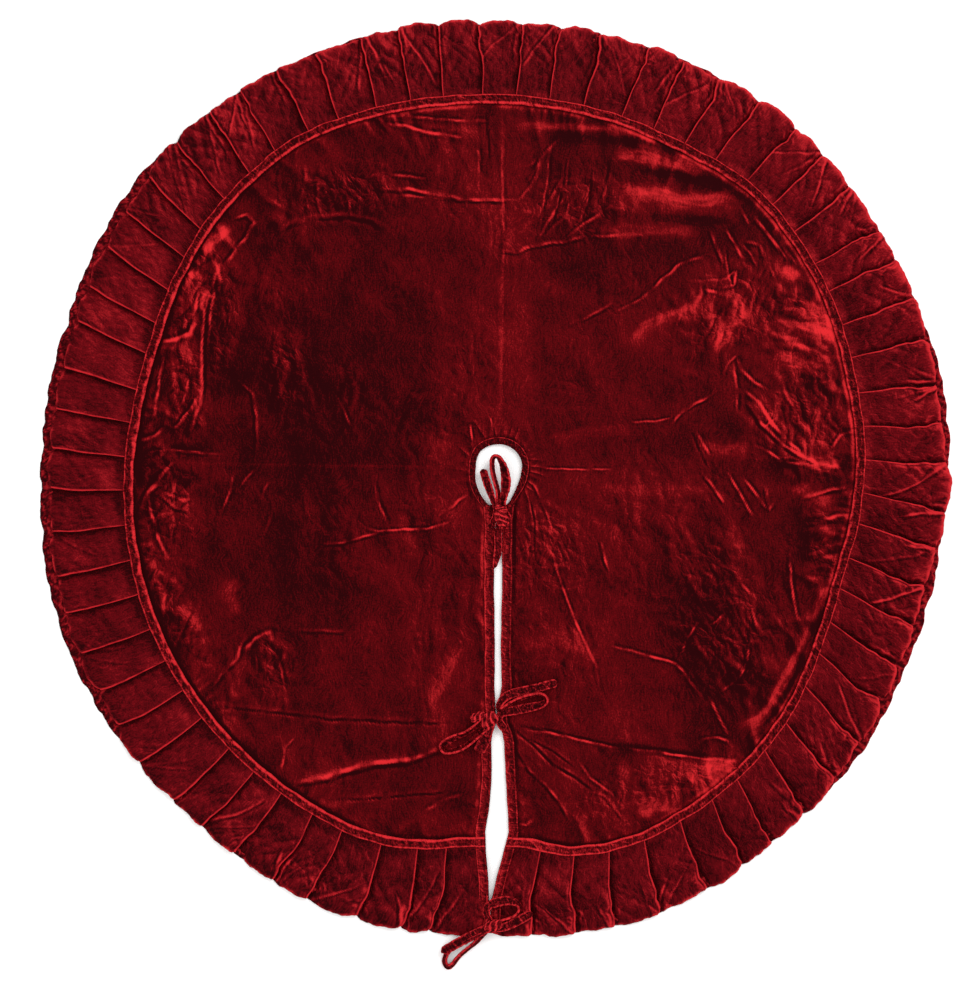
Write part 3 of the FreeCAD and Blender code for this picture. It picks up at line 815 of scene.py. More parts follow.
# Crushed zones: (x, y, half length, half width, turn, direction of the wrinkles, height) in mm.
CRUSHED = [
    (405, 60, 90, 66, 100, 105, 1.1), (405, 185, 64, 54, 90, 160, 1.2), (-408, 240, 110, 34, 66, 68, 1.3),
    (-415, 110, 100, 30, 92, 84, 1.1), (-440, -30, 90, 40, 95, 35, 1.0), (-300, -260, 60, 30, 100, 80, 0.9),
    (-285, 130, 70, 34, 90, 88, 0.8), (300, -200, 120, 80, 110, 118, 0.8), (430, -110, 70, 30, 95, 12, 1.0),
    (210, -420, 130, 36, 15, 85, 0.6), (-425, -190, 110, 22, 118, 60, 1.1), (100, 350, 100, 50, 10, 75, 0.35),
    (310, 210, 90, 60, 20, 75, 1.0),
    (-200, 370, 110, 40, 10, 100, 0.5), (60, -110, 60, 70, 110, 105, 0.5), (-365, 200, 90, 26, 82, 85, 0.6),
]

# Broad patches of painted sheen, or painted shade where the lift is below zero: (x, y, half length, half
# width, turn, lift).
PAINTED_LIGHT_PATCHES = [
    (-285, 0, 330, 120, 90, -0.13), (-190, 120, 210, 150, 80, -0.07), (-360, 170, 110, 40, 80, -0.10),
    (300, 225, 120, 70, 15, 0.10), (400, 180, 56, 34, 0, 0.20), (383, 262, 26, 11, -20, 0.30),
    (268, 217, 26, 14, 0, 0.16), (380, 80, 90, 50, 110, 0.04), (420, 30, 60, 30, 10, 0.10),
    (14, 220, 260, 44, 90, 0.10), (-60, 0, 120, 60, 90, 0.05), (150, -150, 160, 90, 110, 0.05),
    (190, -440, 130, 36, 14, 0.08), (60, 260, 120, 60, 10, -0.03), (230, 290, 90, 26, 5, -0.10),
    (400, -90, 60, 30, 90, -0.14), (290, -210, 130, 110, 110, -0.13), (300, -320, 90, 50, 30, -0.06),
    (420, 112, 40, 30, 90, -0.12), (-440, 10, 60, 50, 0, -0.08), (-60, -290, 150, 40, 80, 0.06),
    (-230, 350, 110, 60, 10, -0.12), (-60, -470, 80, 30, 0, 0.08),
]

# Painted shadow on the panel beside the band: how dark it is, by angle.
SEAM_SHADOW = [
    (0, 0.9), (62, 0.8), (85, 0.2), (110, 0.5), (150, 1.0), (232, 1.0), (250, 0.5), (280, 0.1), (300, 0.4),
    (322, 0.9),
]


def along_line(x, y, points, reach):
    """Near a line: which points are, their distance to its left or right, and their share of it."""
    line = np.array(points, float) / 1000
    near = ((x > line[:, 0].min() - reach) & (x < line[:, 0].max() + reach)
            & (y > line[:, 1].min() - reach) & (y < line[:, 1].max() + reach))
    px, py = x[near], y[near]
    best = np.full(px.shape, 9.0)
    side = np.zeros(px.shape)
    share = np.zeros(px.shape)
    steps = np.linalg.norm(np.diff(line, axis=0), axis=1)
    walked = 0.0
    for (ax, ay), (bx, by), step in zip(line, line[1:], steps):
        ux, uy = (bx - ax) / step, (by - ay) / step
        along = np.clip((px - ax) * ux + (py - ay) * uy, 0, step)
        dx, dy = px - ax - along * ux, py - ay - along * uy
        distance = np.hypot(dx, dy)
        closer = distance < best
        best = np.where(closer, distance, best)
        side = np.where(closer, np.sign(ux * dy - uy * dx), side)
        share = np.where(closer, (walked + along) / steps.sum(), share)
        walked += step
    return near, best * side, share


def draw_creases(x, y):
    """Height and painted light of all the creases: a thin crest with a painted highlight and a dip with
    painted shade on one side.
    """
    height = np.zeros(x.shape)
    painted_light = np.zeros(x.shape)
    broken = 0.62 + 0.8 * noise(x / 0.016, y / 0.016, 22)
    for number, (points, width, tall) in enumerate(CREASES):
        width = width / 1000
        near, away, share = along_line(x, y, points, 7 * width)
        taper = np.sqrt(np.clip(np.sin(np.pi * share), 0, 1)) * np.clip(broken[near], 0.12, 1.25)
        signed = away / (0.62 * width) * (1 if number % 3 else -1)
        crest = np.exp(-np.abs(signed) ** 1.6)
        shade = np.exp(-((signed - 1.9) / 1.1) ** 2)
        height[near] += tall / 1000 * taper * (crest - 0.40 * shade)
        if tall > 0:
            painted_light[near] += 0.34 * math.sqrt(tall) * taper * (crest - 0.75 * shade)
        else:
            painted_light[near] += taper * (0.34 * tall * crest + 0.14 * shade)
    return height, painted_light


def draw_satin(x, y):
    """Painted sheen of the satin folds: crisp on one side, fading on the other and streaked along their
    length.
    """
    painted_light = np.zeros(x.shape)
    for points, width, lift in SATIN:
        reach = abs(width) / 1000
        near, away, share = along_line(x, y, points, 4 * reach)
        wave = away * np.sign(width) + 0.3 * reach * noise(x[near] / 0.025, y[near] / 0.025, 26)
        band = np.exp(-np.abs(wave / np.where(wave > 0, 0.55 * reach, 1.5 * reach)) ** 2.4)
        taper = ease(np.sin(np.pi * share) * 1.8)
        streaked = 0.88 + 0.5 * noise(share * 5, away / 0.0035, 27)
        painted_light[near] += lift * band * taper * streaked
    return painted_light


def patch(x, y, cx, cy, half_length, half_width, turn, lift):
    """A lift inside a ragged ellipse, fading at its rim."""
    c, s = math.cos(math.radians(turn)), math.sin(math.radians(turn))
    dx, dy = x - cx / 1000, y - cy / 1000
    u = (dx * c + dy * s) / (half_length / 1000)
    v = (-dx * s + dy * c) / (half_width / 1000)
    edge = 1 + 0.35 * noise(x * 22, y * 22, 71) + 0.2 * noise(x * 60, y * 60, 72)
    return lift * ease(1.25 - np.hypot(u, v) * edge)


def puckers(around_m, away_m, pitch, reach, height, seed):
    """Little gathers that run away from a seam: distance along the seam and away from it."""
    a = around_m / pitch
    length = reach * (0.55 + 0.75 * np.clip(noise(a * 0.35, 0 * a, seed) + 0.4, 0, 1.2))
    bent = a + 0.9 * noise(around_m / 0.05, away_m / 0.05, seed + 1) * away_m / reach
    crest = np.clip(1 - 2.0 * np.abs(noise(bent, away_m / 0.09, seed + 2)), 0, 1) ** 1.5
    return height * crest * ease(1 - away_m / length)


def crushed(x, y, zone, seed):
    """Facets and wrinkles of one crushed zone, long in one direction: their height, and the zone's mask."""
    cx, cy, half_length, half_width, turn, run, height = zone
    mask = patch(x, y, cx, cy, half_length, half_width, turn, 1.0)
    near = mask > 0
    c, s = math.cos(math.radians(run)), math.sin(math.radians(run))
    px, py = x[near] + 0.008 * noise(x[near] / 0.03, y[near] / 0.03, seed), y[near]
    u, v = px * c + py * s, -px * s + py * c
    facets = np.abs(noise(u / 0.060, v / 0.020, seed + 1))
    facets = facets + 0.5 * np.abs(noise(u / 0.03, v / 0.010, seed + 2))
    lifted = np.zeros(x.shape)
    lifted[near] = height / 1000 * mask[near] * facets * 1.5
    return lifted, mask


def panel_height(x, y, base, to_band, to_hole, to_slit):
    """Height of the panel everywhere, the painted light of its creases and satin folds, and how crushed it
    is.
    """
    h = 0.0009 * layered(x / 0.14, y / 0.14, 11) + 0.0006 * noise(x / 0.055, y / 0.055, 12)
    wx = x + 0.016 * noise(x / 0.05, y / 0.05, 13)
    wy = y + 0.016 * noise(x / 0.05, y / 0.05, 14)
    busy = ease((noise(x / 0.13, y / 0.13, 15) + 0.2) * 1.4)
    h += (0.3 + busy) * 0.0009 * np.abs(noise(wx / 0.055, wy / 0.100, 16))
    h += (0.3 + busy) * 0.0005 * np.abs(noise(wx / 0.022, wy / 0.048, 17))
    crush = 0.18 * busy
    for number, zone in enumerate(CRUSHED):
        lifted, mask = crushed(x, y, zone, 200 + 7 * number)
        h += lifted
        crush = np.maximum(crush, 0.62 * mask)
    wobble = 0.0016 * noise(x / 0.02, y / 0.02, 21)
    drawn, painted_light = draw_creases(x + wobble, y - wobble)
    h += drawn
    along = np.radians(base) * 0.5
    some = ease((noise(along / 0.11, 0 * along, 24) + 0.2) * 1.6)
    h += some * puckers(along, to_band, 0.019, 0.040, 0.0009, 31)
    h += puckers(along, to_band, 0.052, 0.09, 0.0012, 36)
    h += puckers(np.radians(base) * 0.04, to_hole, 0.0110, 0.040, 0.0006, 41)
    h += puckers(np.abs(y), to_slit, 0.026, 0.03, 0.0005, 46)
    held = ease(to_band / 0.006) * ease(to_hole / 0.005) * ease(to_slit / 0.006)
    height = np.clip(PANEL_MEAN + h * held, PANEL_LOWEST, PANEL_HIGHEST)
    return height, painted_light * held + draw_satin(x, y), crush


def curvature_of(z):
    """Positive on crests and negative in dips."""
    blurred = z.copy()
    for axis in (0, 1):
        for _ in range(3):
            blurred = (np.roll(blurred, 1, axis) + blurred + np.roll(blurred, -1, axis)) / 3
    return z - blurred


def painted_light_from_shape(z, normals, rest=0.1, slope_gain=0.9, crest_gain=500.0, light_gain=2.0):
    """Painted light from the cloth's shape: brighter on any slope, brighter on slopes facing TO_LIGHT and
    darker facing away, brighter on crests, darker in dips.
    """
    tilt = np.sqrt(np.clip(1 - normals[..., 2] ** 2, 0, 1))
    toward = normals[..., 0] * TO_LIGHT[0] + normals[..., 1] * TO_LIGHT[1]
    crest = np.clip(curvature_of(z) * crest_gain, -0.3, 0.5)
    return rest + slope_gain * np.clip(tilt - 0.07, 0, 0.6) + light_gain * np.clip(toward, -0.3, 0.3) + crest


def make_panel():
    """The crushed velvet top, from the hole's binding to the band and to the slit's bindings."""
    base, cuts = ring_base(PANEL_COLUMNS)
    inner = around(HOLE_RADIUS, base) + UNDERLAP
    outer = around(BAND_RADIUS, base) - UNDERLAP
    radius = inner + (outer - inner) * np.linspace(0, 1, PANEL_ROWS)[:, None]
    points = ring_points(base, radius, 0, inset=0.004)
    x, y = points[..., 0], points[..., 1]
    to_band = outer + UNDERLAP - BAND_WIDTH - radius
    to_hole = radius - (inner - UNDERLAP) - HOLE_BINDING_WIDTH
    to_edge = np.minimum(np.abs(x - slit_edge(-y, 1)), np.abs(x - slit_edge(-y, -1)))
    to_slit = np.where(y < -0.02, to_edge - SLIT_BINDING_WIDTH, 1.0)
    clear = [np.clip(distance, 0, 2) for distance in (to_band, to_hole, to_slit)]
    points[..., 2], drawn, crush = panel_height(x, y, base + 0 * radius, *clear)
    # Painted light from the panel's shape, creases and satin folds, some random tone, and broad patches of
    # painted sheen and shade.
    painted_light = painted_light_from_shape(points[..., 2], normals_of(points), rest=0.155) + drawn
    painted_light += 0.05 * layered(x / 0.2, y / 0.2, 51) + 0.05 * layered(x / 0.04, y / 0.05, 52)
    for facts in PAINTED_LIGHT_PATCHES:
        painted_light += patch(x, y, *facts)
    # Painted shadow on the panel beside the band.
    shaded = np.interp(base, *zip(*SEAM_SHADOW), period=360)
    painted_light -= 0.34 * shaded * np.exp(-(clear[0] / (0.009 + 0.004 * noise(x / 0.03, y / 0.03, 53))) ** 1.5)
    uv = points[..., :2] + UV_PLACE
    panel = ring_pieces("panel", points, uv, painted_light, PANEL_VELVET, cuts, crush)
    bend(panel, "top_panel")


def make_lining():
    """The woven underside, flat under the panel from the hole to the seam."""
    base, cuts = ring_base(720)
    inner = around(HOLE_RADIUS, base) + 0.002
    outer = around(BAND_RADIUS, base) - 0.002
    radius = inner + (outer - inner) * np.linspace(0, 1, 56)[:, None]
    points = ring_points(base, radius, 0, inset=0.003)
    x, y = points[..., 0], points[..., 1]
    points[..., 2] = 0.0008 + 0.0003 * noise(x / 0.05, y / 0.05, 61)
    uv = points[..., :2] + UV_PLACE
    lining = ring_pieces("lining", points, uv, 0 * x, LINING_CLOTH, cuts)
    bend(lining, "lining")


# ---------------------------------------------------------------- ruffle

PLEATS = 67
PLEAT_ROWS = 58
RUFFLE_WIDTH = 0.107
RUFFLE_MIDDLE = 0.555           # radius half way over the ruffle
HEM_TURN = 0.009                # width of the cloth turned under at the hem
HEM_START = 0.86                # share of the way out where the cloth starts to roll down to its hem
FAN_LEANS = (0.30, 0.85, 1.5)   # how far over its pleat each crease of a fan leans

# The stages of the cloth's way over one pleat: its face, the rolled fold, the return under the face, the
# fold at the back and the hidden layer below; and the columns of each.
FACE, FOLD, UNDER, BACK, HIDDEN = STAGES = range(5)
STAGE_STEPS = (34, 6, 4, 4, 4)

# Where the second layer of the ruffle shows past the first: (angle, half span, share).
UNDER_SHOWS = [(177, 40, 1.0), (334, 17, 0.9), (10, 9, 0.8), (62, 6, 0.4), (110, 8, 0.35), (232, 9, 0.3)]


def under_share(angle):
    """How much of the second layer shows at an angle, 0 to 1."""
    turned = np.mod(angle, 360)
    share = 0.12 + 0 * turned
    for middle, half, amount in UNDER_SHOWS:
        away = np.abs(np.mod(turned - middle + 180, 360) - 180)
        share = np.maximum(share, amount * ease((half + 6 - away) / 12))
    return share


def restless_at(angle):
    """How crumpled the ruffle is at an angle: nearly smooth on the left, busy elsewhere."""
    from_left = np.abs(np.mod(angle, 360) - 186)
    return 0.22 + 0.78 * ease((from_left - 34) / 26)


class Pleats:
    """The ruffle's grid. Each column has its pleat, its stage and its share t of that stage, and each row
    has its share v of the way from the seam to the hem."""

    def __init__(self, seed):
        self.chance = np.random.default_rng(seed)
        steps = np.array([(stage, t) for stage, count in zip(STAGES, STAGE_STEPS)
                          for t in np.linspace(0, 1, count, endpoint=False)])
        self.pleat = np.repeat(np.arange(PLEATS), len(steps))
        self.stage, self.t = np.tile(steps.T, PLEATS)[:, None, :]
        self.v = np.linspace(0, 1, PLEAT_ROWS)[:, None] ** 0.92
        self.shift = self.pleat[None, :] * 0.37
        self.roll = np.clip((self.v - HEM_START) / (1 - HEM_START), 0, 1)

    def lots(self, low, high):
        """A random value for each pleat, on all its columns."""
        return self.chance.uniform(low, high, PLEATS)[self.pleat][None, :]

    def lay_folds(self):
        """The angle of each fold at each row: straight at the seam, wandering towards the hem."""
        v = self.v
        number = np.arange(PLEATS + 1)
        free = (number > 0) & (number < PLEATS)
        self.folds = -90 + 360 / PLEATS * number + free * self.chance.uniform(-0.5, 0.5, PLEATS + 1)
        on_left = (self.folds > 100) & (self.folds < 250)
        lean = np.where(on_left, -0.9, -0.35) + self.chance.uniform(-0.45, 0.45, PLEATS + 1)
        loose = restless_at(self.folds)
        wander = (0.2 + 0.5 * loose) * noise(v * 2.2 + number * 7.3, number * 3.1 + 0 * v, 81) * v
        crumple = 0.3 * loose * noise(v * 7 + number * 1.7, number * 5.3 + 0 * v, 82) * ease((v - 0.3) / 0.6)
        lines = self.folds + (lean * v + wander + crumple) * free
        self.start, self.end = lines[:, self.pleat], lines[:, self.pleat + 1]
        self.width = self.end - self.start
        self.degree = np.degrees(1 / around(BAND_RADIUS, self.start))

    def path(self):
        """Angle and height of the cloth on its way over the pleats, before it is crumpled."""
        t, v, start, end, width = self.t, self.v, self.start, self.end, self.width
        puff = self.lots(0.75, 1.3)
        lap_share = self.chance.uniform(0.36, 0.5, PLEATS + 1)[self.pleat + 1][None, :]
        lap = width * (lap_share - 0.08 * v)
        edge = (0.0004 + 0.0007 * ease(v * 1.3)) * puff
        edge_angle = edge * self.degree
        low = 0.0042 - 0.0028 * ease(v / 0.16) + 0.0006 * ease((v - 0.3) / 0.5)
        crown = 0.0060 + (0.0034 * ease(v / 0.35) + 0.0016 * ease((v - 0.45) / 0.4)) * puff
        under = low + (crown - low) * 0.34
        arc = np.pi * t
        angles = {
            FACE: start + (width - edge_angle) * t,
            FOLD: end - edge_angle + edge_angle * np.sin(arc),
            UNDER: end - edge_angle - (lap - edge_angle) * t,
            BACK: end - lap - 0.5 * edge_angle * np.sin(arc),
            HIDDEN: end - lap + lap * t,
        }
        bulge = 0.0016 * np.sin(arc) * ease(v / 0.5) * puff
        heights = {
            FACE: low + (crown - low) * (0.30 * t + 0.70 * t ** 1.7) + bulge,
            FOLD: crown - edge + edge * np.cos(arc),
            UNDER: crown - 2 * edge + (under + 0.0004 - crown + 2 * edge) * ease(t),
            BACK: (low + under) / 2 + (under - low) / 2 * np.cos(arc) + 0.0004 * (1 - t),
            HIDDEN: low + 0 * t,
        }
        here = [self.stage == stage for stage in STAGES]
        return [np.select(here, [values[stage] for stage in STAGES]) for values in (angles, heights)]

    def crumples(self, angle):
        """Height of soft radial rolls, creases that slant in from the hem and fine gathers at the seam."""
        t, v, shift = self.t, self.v, self.shift
        arc_m, out_m = np.radians(angle) * RUFFLE_MIDDLE, v * RUFFLE_WIDTH
        faces = ease(t / 0.12) * ease((1 - t) / 0.10)
        shown = np.where(self.stage == FACE, faces, 0.35 * (self.stage == FOLD))
        self.restless = self.lots(0.35, 1.0) * restless_at(angle)
        soft = 0.0011 * noise(arc_m / 0.030 + shift, out_m / 0.045 + shift, 83) * ease(v)
        slant = np.abs(noise((arc_m + 0.8 * out_m) / 0.022, (out_m - 0.4 * arc_m) / 0.06 + shift, 84))
        slant = slant + np.abs(noise((arc_m - 0.9 * out_m) / 0.026 + shift, (out_m + 0.4 * arc_m) / 0.06, 85))
        corner = ease((np.maximum(t, 1 - t) - 0.66) / 0.25) * ease((v - 0.6) / 0.2)
        squiggles = 0.0020 * ridges(arc_m / 0.0085 + shift, out_m / 0.011 + shift, 86) * corner
        fine = 0.00025 * noise(arc_m / 0.007, out_m / 0.010, 87)
        return shown * (soft + (0.0028 * slant * ease((v - 0.1) / 0.5) + squiggles) * self.restless + fine)

    def fans(self):
        """Height and painted light of each pleat's creases, which fan out from one corner of its hem: a
        painted highlight on each crest, painted shade beside it.
        """
        t, v, shift = self.t, self.v, self.shift
        on_face = self.stage == FACE
        from_end = self.chance.integers(0, 2, PLEATS)[self.pleat][None, :] == 1
        height, painted_light = 0 * self.width, 0 * self.width
        for number, middle_lean in enumerate(FAN_LEANS):
            lean = middle_lean * self.lots(0.6, 1.4)
            curl = self.lots(-0.09, 0.09)
            begins = self.lots(0.15, 0.7)
            tall = np.clip(self.lots(-1.3, 1.7), 0, None) * self.restless
            inward = lean * (1 - v) + curl * np.sin(5 * v) + 0.03
            away = (t - np.where(from_end, 1 - inward, inward)) * self.width / self.degree / 0.0015
            away = away * np.where(from_end, 1, -1)
            crest = np.exp(-np.abs(away) ** 1.5) - 0.7 * np.exp(-((away + 1.9) / 1.2) ** 2)
            kept = on_face * ease((v - begins) / 0.2) * ease(t / 0.04) * ease((1 - t) / 0.03)
            kept = kept * (0.75 + 0.5 * noise(v * 9 + shift, shift + 0 * v, 89))
            height += crest * tall * 0.0013 * kept
            painted_light += crest * tall * 0.62 * kept
            if number == 0:
                # Painted shade in the opening between the fold and the first crease.
                gap = np.exp(-((t - 0.5 * inward) / (0.35 * np.abs(inward) + 0.01)) ** 2) * ~from_end
                painted_light -= 0.45 * np.minimum(tall, 1) * gap * on_face * ease((v - 0.74) / 0.12)
        return height, painted_light

    def lay_out(self, angle, z):
        """The ruffle's points. Its hem curls down to the floor, bulging between folds, tucked in at them."""
        t, v = self.t, self.v
        arc_m = np.radians(angle) * RUFFLE_MIDDLE
        hem = around(HEM_RADIUS, angle) - 0.0105 * under_share(angle)
        bulge = self.lots(0.2, 1.5)
        scallop = np.where(self.stage == FACE, 0.0042 * np.sin(np.pi * t) ** 0.7 * bulge - 0.0022, -0.003)
        scallop = scallop + 0.0026 * noise(arc_m / 0.017, 0 * arc_m, 88)
        scallop = scallop + 0.0010 * noise(arc_m / 0.006, 0 * arc_m, 90)
        seam = around(BAND_RADIUS, angle) - 0.004
        rolled = HEM_START + (1 - HEM_START) * np.sin(np.pi / 2 * self.roll)
        radius = seam + (hem + scallop - seam) * np.where(v < HEM_START, v, rolled)
        z = 0.0006 + (z - 0.0006) * np.sqrt(np.clip(1 - self.roll ** 2.2, 0, 1))
        tucked = ring_points(angle[-1:], radius[-1:] - HEM_TURN, 0 * z[-1:] + 0.0007, inset=0.001)
        return np.concatenate([ring_points(angle, radius, z, inset=0.001), tucked])

    def painted_light(self, points, drawn):
        """Painted light of the ruffle: from its faces' shape, a painted highlight on its folds and painted
        shade on its underlayers.
        """
        x, y = points[..., 0], points[..., 1]
        painted_light = drawn + painted_light_from_shape(points[..., 2], normals_of(points), rest=0.16, slope_gain=0.6, crest_gain=260.0,
                              light_gain=0.9)
        painted_light += 0.10 * layered(x / 0.05, y / 0.05, 91) + 0.05 * layered(x / 0.25, y / 0.25, 92)
        # Painted light from one side: brighter on the right, darker on the left and at the back.
        painted_light += 0.10 * (x - np.maximum(y, 0)) / np.hypot(x, y)
        stage = self.stage + 0 * painted_light
        # Painted shadow on each face where it comes out from under the fold before it, a painted highlight on
        # the folds, painted shade on the hidden layers.
        painted_light = np.where(stage == FACE, painted_light - 0.28 * ease((0.18 - self.t) / 0.18), painted_light)
        painted_light = np.where(stage == FOLD, 0.92 + 0.4 * noise(x / 0.012, y / 0.012, 93), painted_light)
        painted_light = np.where((stage == UNDER) | (stage == HIDDEN), 0.0, painted_light)
        # A painted highlight along the hem's roll, and painted shade where it turns under.
        rim = np.concatenate([self.roll, [[0.0]]])
        lit_rim = ease((rim - 0.45) / 0.2) * (1 - ease((rim - 0.75) / 0.2))
        painted_light += lit_rim * (0.22 + 0.5 * noise(x / 0.011, y / 0.011, 94)) - 0.3 * ease((rim - 0.8) / 0.15)
        return np.clip(painted_light, 0, 0.95)


def with_turn(rows):
    """The rows with the last one once more, for the cloth turned under at the hem."""
    return np.concatenate([rows, rows[-1:]])


def make_ruffle():
    """The knife-pleated ruffle, one cloth that folds over itself at every pleat."""
    pleats = Pleats(2026)
    pleats.lay_folds()
    angle, z = pleats.path()
    z = z + pleats.crumples(angle)
    raised, drawn = pleats.fans()
    points = pleats.lay_out(angle, z + raised)
    painted_light = pleats.painted_light(points, with_turn(drawn))
    run = np.cumsum(np.r_[0, np.linalg.norm(np.diff(points[PLEAT_ROWS // 2 + 1], axis=0), axis=1)])
    out_m = pleats.v * RUFFLE_WIDTH
    uv = np.stack(np.broadcast_arrays(run[None, :], np.concatenate([out_m, out_m[-1:] + HEM_TURN])), -1)
    crush = with_turn(pleats.restless) * 0.30
    before = [int(np.searchsorted(pleats.folds, cut) - 1) for cut in CUTS]
    cuts = [pleat * sum(STAGE_STEPS) + STAGE_STEPS[FACE] // 2 for pleat in before]
    ruffle = ring_pieces("ruffle", points, uv, painted_light, RUFFLE_VELVET, cuts, crush)
    bend(ruffle, "ruffle")


def make_under_ruffle():
    """The gathered second layer that peeks out under the hem in places."""
    base, cuts = ring_base(1440)
    arc_m = np.radians(base) * 0.6
    shows = under_share(base)
    bitten = noise(arc_m / 0.028, 0 * base, 96) + 0.2 * noise(arc_m / 0.008, 0 * base, 98)
    bitten = np.clip(bitten, -0.8, 0.25)
    out = around(HEM_RADIUS, base) - 0.006 + 0.007 * shows + 0.005 * bitten
    share = np.array([0, 0.3, 0.5, 0.62, 0.72, 0.80, 0.87, 0.92, 0.96, 0.985, 1.0])[:, None]
    radius = out - 0.035 * (1 - share)
    wave = ridges(arc_m / 0.011, share * 3.0, 97) + 0.6 * ridges(arc_m / 0.006, share * 5.0, 99)
    z = 0.0007 + (0.0012 + 0.0026 * wave) * np.sqrt(np.clip(1 - share ** 9, 0, 1)) * share + 0 * radius
    points = ring_points(base, radius, z, inset=0.002)
    # Painted light from its shape, kept low: painted shade under the hem.
    painted_light = np.clip(painted_light_from_shape(points[..., 2], normals_of(points), rest=0.03, slope_gain=0.75), 0, 0.6)
    uv = np.stack([arc_m + 0 * radius, radius], -1)
    under = ring_pieces("ruffle_under", points, uv, painted_light, RUFFLE_VELVET, cuts)
    bend(under)


# ---------------------------------------------------------------- bands and bindings

# Sections across a strip: (share of its width from its inner edge, height above its seat in mm).
BAND_SECTION = [
    (0.0, -1.6), (-0.05, -0.6), (-0.03, 0.7), (0.04, 1.6), (0.12, 1.8), (0.20, 1.5), (0.28, 0.9), (0.38, 0.6),
    (0.5, 0.7), (0.62, 0.9), (0.74, 0.6), (0.84, 0.9), (0.90, 1.5), (0.96, 1.6), (1.01, 0.9), (1.03, 0.0),
    (1.0, -1.2),
]
HOLE_SECTION = [
    (0.0, -5.2), (-0.05, -3.6), (-0.06, -1.8), (0.0, 0.2), (0.12, 1.2), (0.32, 1.7), (0.55, 1.6),
    (0.76, 1.2), (0.86, 0.5), (0.94, 0.7), (1.0, 0.1), (1.02, -0.8),
]


def strip_grid(base, edge_radius, width, section, seat, seed, ripple=0.0004, wander=0.0012):
    """Points and flat UVs of a strip laid along the ring: its section at every base angle, gathered a bit."""
    share, rise = section_of(section)
    radius = edge_radius + share * width
    turn = np.radians(base)
    line = np.concatenate([edge_radius * np.cos(turn), edge_radius * np.sin(turn)])
    arc_m = np.cumsum(np.r_[0, np.hypot(*np.diff(line, axis=1))])[None, :]
    loose = np.clip(rise + 0.0012, 0, 0.0025) / 0.0025
    gathers = layered(arc_m / 0.0065, share * 1.3, seed) + 0.8 * ridges(arc_m / 0.011, share * 1.1, seed + 3)
    radius = radius + wander * noise(arc_m / 0.025, share * 0.6, seed + 5)
    points = ring_points(base + 0 * radius, radius, seat + rise + ripple * loose * gathers, inset=0.001)
    return points, np.stack([arc_m + 0 * radius, share * width + 0 * radius], -1)


# Painted light on the band, by angle: (angle, width of the painted highlight on its inner roll as a share,
# painted light of its middle).
BAND_LOOK = [
    (0, 0.08, 0.00), (50, 0.10, 0.00), (80, 0.20, 0.10), (110, 0.18, 0.04), (150, 0.32, -0.04),
    (185, 0.36, -0.04), (215, 0.28, 0.04), (245, 0.22, 0.08), (262, 0.14, 0.16), (280, 0.08, 0.22),
    (300, 0.10, 0.12), (330, 0.12, 0.00),
]


def make_band():
    """The trim band, with a painted highlight along its inner roll and a thin one along its outer edge."""
    base, cuts = ring_base(1920)
    edge = around(BAND_RADIUS, base) - BAND_WIDTH
    points, uv = strip_grid(base, edge, BAND_WIDTH, BAND_SECTION, 0.0060, 101)
    painted_light = painted_light_from_shape(points[..., 2], normals_of(points), rest=0.02, slope_gain=0.25, crest_gain=300.0,
                  light_gain=0.4)
    share = section_of(BAND_SECTION)[0]
    run = uv[..., 0]
    angles, rolls, fills = zip(*BAND_LOOK)
    roll = np.interp(base, angles, rolls, period=360) * (1 + 0.5 * noise(run / 0.05, 0 * run, 106))
    inner_roll = np.exp(-np.abs((share - roll / 2) / (roll / 2 + 0.05)) ** 4)
    outer_roll = np.exp(-((share - 0.95) / 0.055) ** 2)
    strand = np.exp(-((share - 0.5 - 0.3 * np.sin(run / 0.006)) / 0.10) ** 2)
    braided = ease((noise(run / 0.09, 0 * run, 109) - 0.15) * 3)
    # Painted highlights on the inner and outer rolls and on a wavy strand in the middle, painted light of the
    # middle by angle, and random tone.
    painted_light = painted_light + inner_roll * (0.54 + 0.55 * noise(run / 0.012, share * 2, 107))
    painted_light = painted_light + outer_roll * (0.52 + 0.45 * noise(run / 0.016, 0 * run, 108))
    painted_light = painted_light + np.interp(base, angles, fills, period=360) + 0.40 * strand * braided
    painted_light = np.clip(painted_light + 0.3 * layered(run / 0.007, share * 2, 105), 0, 0.95)
    band = ring_pieces("trim_band_strip", points, uv, painted_light, TRIM_VELVET, cuts)
    bend(band, "trim_band")


def make_hole_binding():
    """The binding rolled over the edge of the trunk hole, with a painted highlight along the stitched line
    near its outer edge.
    """
    base, cuts = ring_base(360)
    points, uv = strip_grid(base, around(HOLE_RADIUS, base), HOLE_BINDING_WIDTH, HOLE_SECTION, 0.0054, 111,
                            ripple=0.0003, wander=0.0005)
    share = section_of(HOLE_SECTION)[0]
    # Painted highlights along the stitched line and on the lip rolled over the hole's edge, with random tone.
    highlight_lines = np.exp(-((share - 0.97) / 0.06) ** 2) * (0.85 + 0.5 * noise(base / 9, 0 * base, 115))
    lip = np.exp(-((share - 0.02) / 0.08) ** 2) * 0.25
    painted_light = np.clip(lip + highlight_lines - 0.08 + 0.12 * noise(uv[..., 0] / 0.006, share * 3, 116), 0, 0.95)
    rim = ring_pieces("hole_rim", points, uv, painted_light, TRIM_VELVET, cuts)
    bend(rim, "hole_binding")


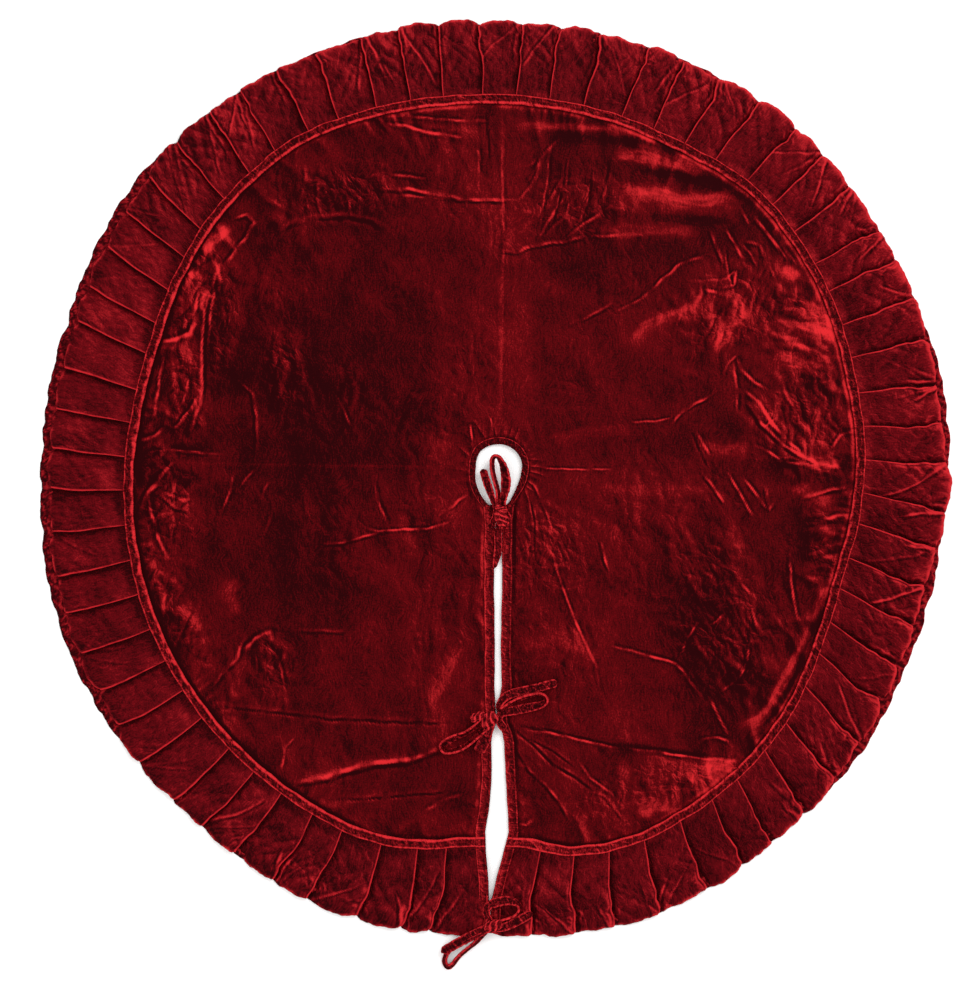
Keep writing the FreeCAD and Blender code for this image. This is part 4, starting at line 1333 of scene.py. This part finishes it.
# Across a slit edge, from under the cloth round the edge and over the top: (mm from the edge, mm high).
SLIT_SECTION = [
    (3.0, 0.7), (1.2, 0.5), (0.1, 1.1), (-0.5, 2.6), (-0.2, 4.4), (0.6, 5.9), (1.6, 6.5), (2.6, 6.2),
    (3.6, 6.7), (5.5, 7.1), (7.6, 7.1), (9.4, 6.7), (10.4, 6.0), (11.2, 6.4), (12.1, 6.1), (12.6, 5.0),
]

# The strips along each edge of the slit: (piece, CAD node, nearest and farthest distance from the centre,
# how far it is lifted over the ruffle, seed).
SLIT_STRIPS = [
    ("slit_edge", "slit_binding", 0.046, 0.497, 0.0, 121),
    ("ruffle_edge", "ruffle_end_hem", 0.497, 0.611, 0.0035, 131),
]


def make_slit_strip(word, side, name, node, near, far, lifted, seed):
    """A binding folded round one edge of the slit, with painted highlights along the stitched line on its top
    and along its rolled edge.
    """
    seed = seed + side
    distance = np.linspace(near, far, int((far - near) / 0.0021))[None, :]
    across, rise = section_of(SLIT_SECTION)
    across = across / 1000
    stretch = np.clip((rise - 0.003) / 0.004, 0, 1)
    ripple = layered(distance / 0.008, across * 160, seed) + ridges(distance / 0.013, across * 90, seed + 2)
    lift = lifted * ease((distance - 0.50) / 0.03) * ease((0.614 - distance) / 0.03)
    edge = slit_edge(distance, side) + 0.0005 * noise(distance / 0.025, 0 * distance, seed + 4)
    x = edge + side * across * (1 + 0.05 * noise(distance / 0.03, 0 * distance, seed + 6))
    points = np.stack([x, -distance + 0 * x, rise + (lift + 0.0004 * ripple) * stretch], -1)
    uv = np.stack([distance + 0 * x, across + 0 * x], -1)
    if side < 0:
        points, uv = points[::-1], uv[::-1]
    normals = normals_of(points)
    run, from_edge = uv[..., 0], uv[..., 1] * 1000
    # Painted highlights along the stitched line, brighter on the left strip, and along the rolled edge.
    seam = from_edge - 11.0 + 0.7 * noise(run / 0.04, 0 * run, seed + 9)
    highlight_lines = (0.75 - 0.25 * side) * np.exp(-(seam / 0.8) ** 2)
    highlight_lines = highlight_lines + 0.4 * np.exp(-((from_edge - 2.4) / 0.7) ** 2)
    flecks = 0.10 * layered(run / 0.02, from_edge / 3.0, seed + 7)
    painted_light = painted_light_from_shape(points[..., 2], normals, rest=0.10, slope_gain=0.25, crest_gain=250.0, light_gain=0.5)
    painted_light = painted_light + highlight_lines * (0.30 + 0.45 * noise(run / 0.013, from_edge / 9, seed + 8)) + flecks
    painted_light = np.clip(painted_light, 0, 0.8)
    piece = grid_object(f"{name}_{word}", points, normals, uv, painted_light, TRIM_VELVET, 0 * painted_light)
    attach(piece, f"front_{word}")
    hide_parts(f"{node}_{word}")


make_panel()
make_lining()
make_ruffle()
make_under_ruffle()
make_band()
make_hole_binding()
for word, side in (("left", -1), ("right", 1)):
    for facts in SLIT_STRIPS:
        make_slit_strip(word, side, *facts)
for seed, (node, facts) in enumerate(TIES.items(), start=1):
    make_tie(node, facts, seed)
for seed, (name, facts) in enumerate(KNOTS.items(), start=1):
    make_knot(name, *facts, seed)
